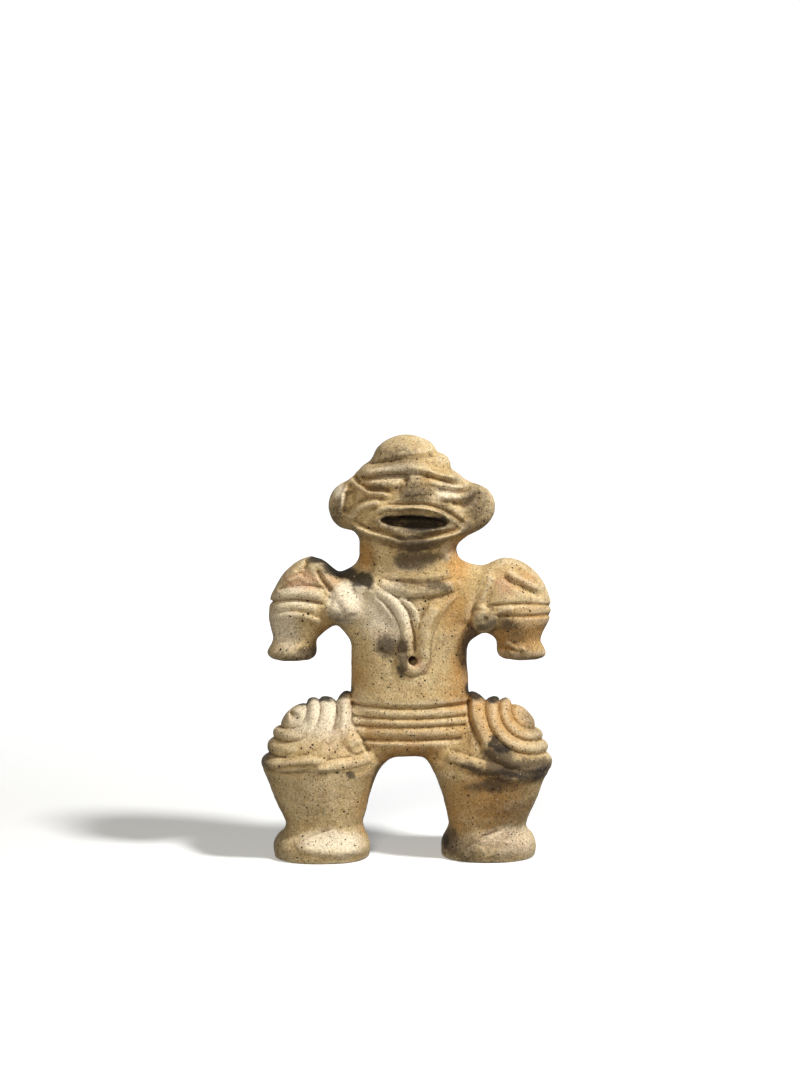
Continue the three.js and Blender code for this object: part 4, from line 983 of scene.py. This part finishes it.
def make_clay():
    material = bpy.data.materials.new("fired_clay_old")
    material.use_nodes = True
    tree = material.node_tree
    tree.nodes.clear()
    n = Nodes(tree)

    hollow = n.attribute("hollow")
    broad = n.attribute("broad_hollow")

    # the body colour: buff and cream in broad clouds, with finer mottles of tan
    clouds = n.span(n.noise(15, 4.0, 0.6), 0.34, 0.66)
    colour = n.mix(clouds, BUFF, CREAM)
    mottle = n.span(n.noise(4.5, 5.0, 0.7, 0.3), 0.42, 0.68)
    colour = n.mix(n.math("MULTIPLY", mottle, MOTTLE_COVER), colour, TAN)

    def stain_and_shade(name, colour):
        tint, most, size, fray = PATCH_LOOKS[name]
        edge = n.math("MULTIPLY_ADD", n.noise(size, 6.0, 0.75), fray, -fray / 2)
        share = n.span(n.math("ADD", n.attribute(name), edge), *PATCH_SPAN, 0.0, most)
        return n.mix(share, colour, tint)

    # pale, rose and ochre stains, with painted highlight among the pale ones and painted shade among the
    # ochre ones
    for name in ("pale", "rose", "ochre"):
        colour = stain_and_shade(name, colour)

    # soil that has stayed in the hollows, with painted shade darkening the narrow and broad hollows, and clay
    # rubbed paler on the ridges
    soil_and_shade = n.math("ADD", n.span(hollow, 0.0, 0.25), n.span(broad, 0.1, 1.1, 0.0, 0.7))
    soil_and_shade = n.math("MULTIPLY", soil_and_shade, n.span(n.noise(2.2, 4.0, 0.7), 0.25, 0.6, 0.6, 1.0))
    colour = n.mix(n.span(soil_and_shade, 0.0, 1.5, 0.0, SOIL_AND_SHADE_COVER), colour, SOIL_AND_SHADE)
    rubbed = n.span(hollow, -0.02, -0.22)
    colour = n.mix(n.math("MULTIPLY", rubbed, RUBBED_COVER), colour, RUBBED)

    # smoke and soot, with painted shade and shadow among them
    for name in ("smoke_and_shade", "soot_and_shadow"):
        colour = stain_and_shade(name, colour)

    # grit: dark, brown and pale grains in several sizes, thicker in some places
    thick = n.span(n.noise(7, 3.0, 0.7), 0.35, 0.65, 0.35, 1.25)
    ragged = n.ragged(0.35, 0.22)
    grit = None
    for spacing, reach, share, most, shade in GRIT:
        distance, own = n.grains(spacing, ragged)
        size = n.math("MULTIPLY_ADD", own[1], reach * GRAIN_MORE, reach * GRAIN_LEAST)
        grain = n.span(n.math("DIVIDE", distance, size), 1.0, 0.55, 0.0, most)
        kept = n.math("LESS_THAN", own[0], n.math("MULTIPLY", thick, share))
        grain = n.math("MULTIPLY", grain, kept)
        colour = n.mix(grain, colour, shade)
        grit = grain if grit is None else n.math("MAXIMUM", grit, grain)

    # fine speckle, which darkens and brightens
    speckle = n.span(n.noise(0.8, 4.0, 0.85), 0.32, 0.68, 0.64, 1.34)
    colour = n.mix(1.0, colour, n.grey(speckle), "MULTIPLY")

    shader = n.add("ShaderNodeBsdfPrincipled")
    n.put(shader.inputs["Base Color"], colour)
    n.put(shader.inputs["Roughness"], n.span(n.noise(3.5, 3.0), 0.3, 0.7, 0.78, 0.93))
    n.put(shader.inputs["Specular IOR Level"], SHINE)

    # unevenness, pits and sunken grit in the surface
    fine = n.math("MULTIPLY", n.noise(0.6, 4.0, 0.8), FINE_HEIGHT)
    rough = n.math("MULTIPLY", n.noise(1.7, 4.0, 0.65), ROUGH_HEIGHT)
    distance, own = n.grains(PIT_SPACING, ragged)
    rim = n.math("SUBTRACT", distance, n.math("MULTIPLY", own[1], PIT_REACH))
    kept = n.math("LESS_THAN", own[0], PIT_SHARE)
    pit = n.math("MULTIPLY", n.span(rim, -0.05, 0.03, PIT_HEIGHT, 0.0), kept)
    height = n.math("ADD", n.math("ADD", fine, rough), pit)
    height = n.math("MULTIPLY_ADD", grit, GRIT_HEIGHT, height)
    bump = n.add("ShaderNodeBump")
    n.put(bump.inputs["Strength"], BUMP_STRENGTH)
    n.put(bump.inputs["Distance"], BUMP_SCALE)
    n.put(bump.inputs["Height"], height)
    n.put(shader.inputs["Normal"], bump.outputs["Normal"])
    out = n.add("ShaderNodeOutputMaterial")
    n.put(out.inputs["Surface"], shader.outputs["BSDF"])
    return material


mesh.materials.append(make_clay())

# A pale floor that curves up behind the figure, in metres. It glows, and more so towards the wall.
FLOOR_HALF_WIDTH = 3.0
FLOOR_FRONT = -3.0
WALL_FOOT = 1.6
WALL_CURVE = 0.9
WALL_CURVE_STEPS = 12
WALL_TOP = 3.5
FLOOR_COLOUR = (0.92, 0.94, 0.96, 1)
FLOOR_ROUGHNESS = 0.9
GLOW_COLOUR = (0.95, 0.975, 1, 1)
GLOW_DEPTHS = (0.1, 0.8)
GLOW_STRENGTHS = (0.22, 1.0)
# Lights, as (name, place, size, power, colour), aimed at the middle of the figure
LIGHTS = [
    ("key_light", (0.58, -0.32, 0.90), 0.16, 12, (1.0, 0.985, 0.96)),
    ("fill_light", (-0.15, -1.15, 0.5), 0.35, 8, (1.0, 0.92, 0.78)),
]
LIGHT_AIM = (0, 0, 0.09)
ROOM_COLOUR = (1, 0.88, 0.7, 1)
ROOM_STRENGTH = 0.06
CAMERA_PLACE = (-0.00273, -1.19135, 0.2555)
CAMERA_TILT = 84
CAMERA_LENS = 101.2
CAMERA_SENSOR = 36
CAMERA_REACH = 20


def make_floor():
    line = [(FLOOR_FRONT, 0.0), (WALL_FOOT, 0.0)]
    for i in range(1, WALL_CURVE_STEPS + 1):
        turn = math.pi / 2 * i / WALL_CURVE_STEPS
        line.append((WALL_FOOT + WALL_CURVE * math.sin(turn), WALL_CURVE * (1 - math.cos(turn))))
    line.append((WALL_FOOT + WALL_CURVE, WALL_TOP))
    corners = [(side * FLOOR_HALF_WIDTH, y, z) for y, z in line for side in (-1, 1)]
    sides = [(2 * i, 2 * i + 1, 2 * i + 3, 2 * i + 2) for i in range(len(line) - 1)]
    floor_mesh = bpy.data.meshes.new("floor")
    floor_mesh.from_pydata(corners, [], sides)
    floor_mesh.shade_smooth()
    floor = bpy.data.objects.new("floor", floor_mesh)
    bpy.context.scene.collection.objects.link(floor)
    paper = bpy.data.materials.new("floor_paper")
    paper.use_nodes = True
    shader = paper.node_tree.nodes["Principled BSDF"]
    shader.inputs["Base Color"].default_value = FLOOR_COLOUR
    shader.inputs["Roughness"].default_value = FLOOR_ROUGHNESS
    shader.inputs["Emission Color"].default_value = GLOW_COLOUR
    place = paper.node_tree.nodes.new("ShaderNodeTexCoord")
    split = paper.node_tree.nodes.new("ShaderNodeSeparateXYZ")
    glow = paper.node_tree.nodes.new("ShaderNodeMapRange")
    for name, number in zip(("From Min", "From Max", "To Min", "To Max"), GLOW_DEPTHS + GLOW_STRENGTHS):
        glow.inputs[name].default_value = number
    link = paper.node_tree.links.new
    link(place.outputs["Object"], split.inputs[0])
    link(split.outputs["Y"], glow.inputs["Value"])
    link(glow.outputs["Result"], shader.inputs["Emission Strength"])
    floor_mesh.materials.append(paper)
    floor.visible_diffuse = False


def make_light(name, place, size, power, colour):
    data = bpy.data.lights.new(name, "AREA")
    data.shape = "DISK"
    data.size = size
    data.energy = power
    data.color = colour
    light = bpy.data.objects.new(name, data)
    light.location = place
    light.rotation_euler = (Vector(LIGHT_AIM) - Vector(place)).to_track_quat("-Z", "Y").to_euler()
    bpy.context.scene.collection.objects.link(light)


def make_camera():
    data = bpy.data.cameras.new("camera")
    data.sensor_width = CAMERA_SENSOR
    data.lens = CAMERA_LENS
    data.clip_end = CAMERA_REACH
    camera = bpy.data.objects.new("camera", data)
    camera.location = CAMERA_PLACE
    camera.rotation_euler = (math.radians(CAMERA_TILT), 0, 0)
    bpy.context.scene.collection.objects.link(camera)
    bpy.context.scene.camera = camera


make_floor()
for light in LIGHTS:
    make_light(*light)
world = bpy.data.worlds.new("studio")
world.use_nodes = True
world.node_tree.nodes["Background"].inputs["Color"].default_value = ROOM_COLOUR
world.node_tree.nodes["Background"].inputs["Strength"].default_value = ROOM_STRENGTH
bpy.context.scene.world = world
bpy.context.scene.view_settings.view_transform = "Standard"
make_camera()

bpy.context.view_layer.update()
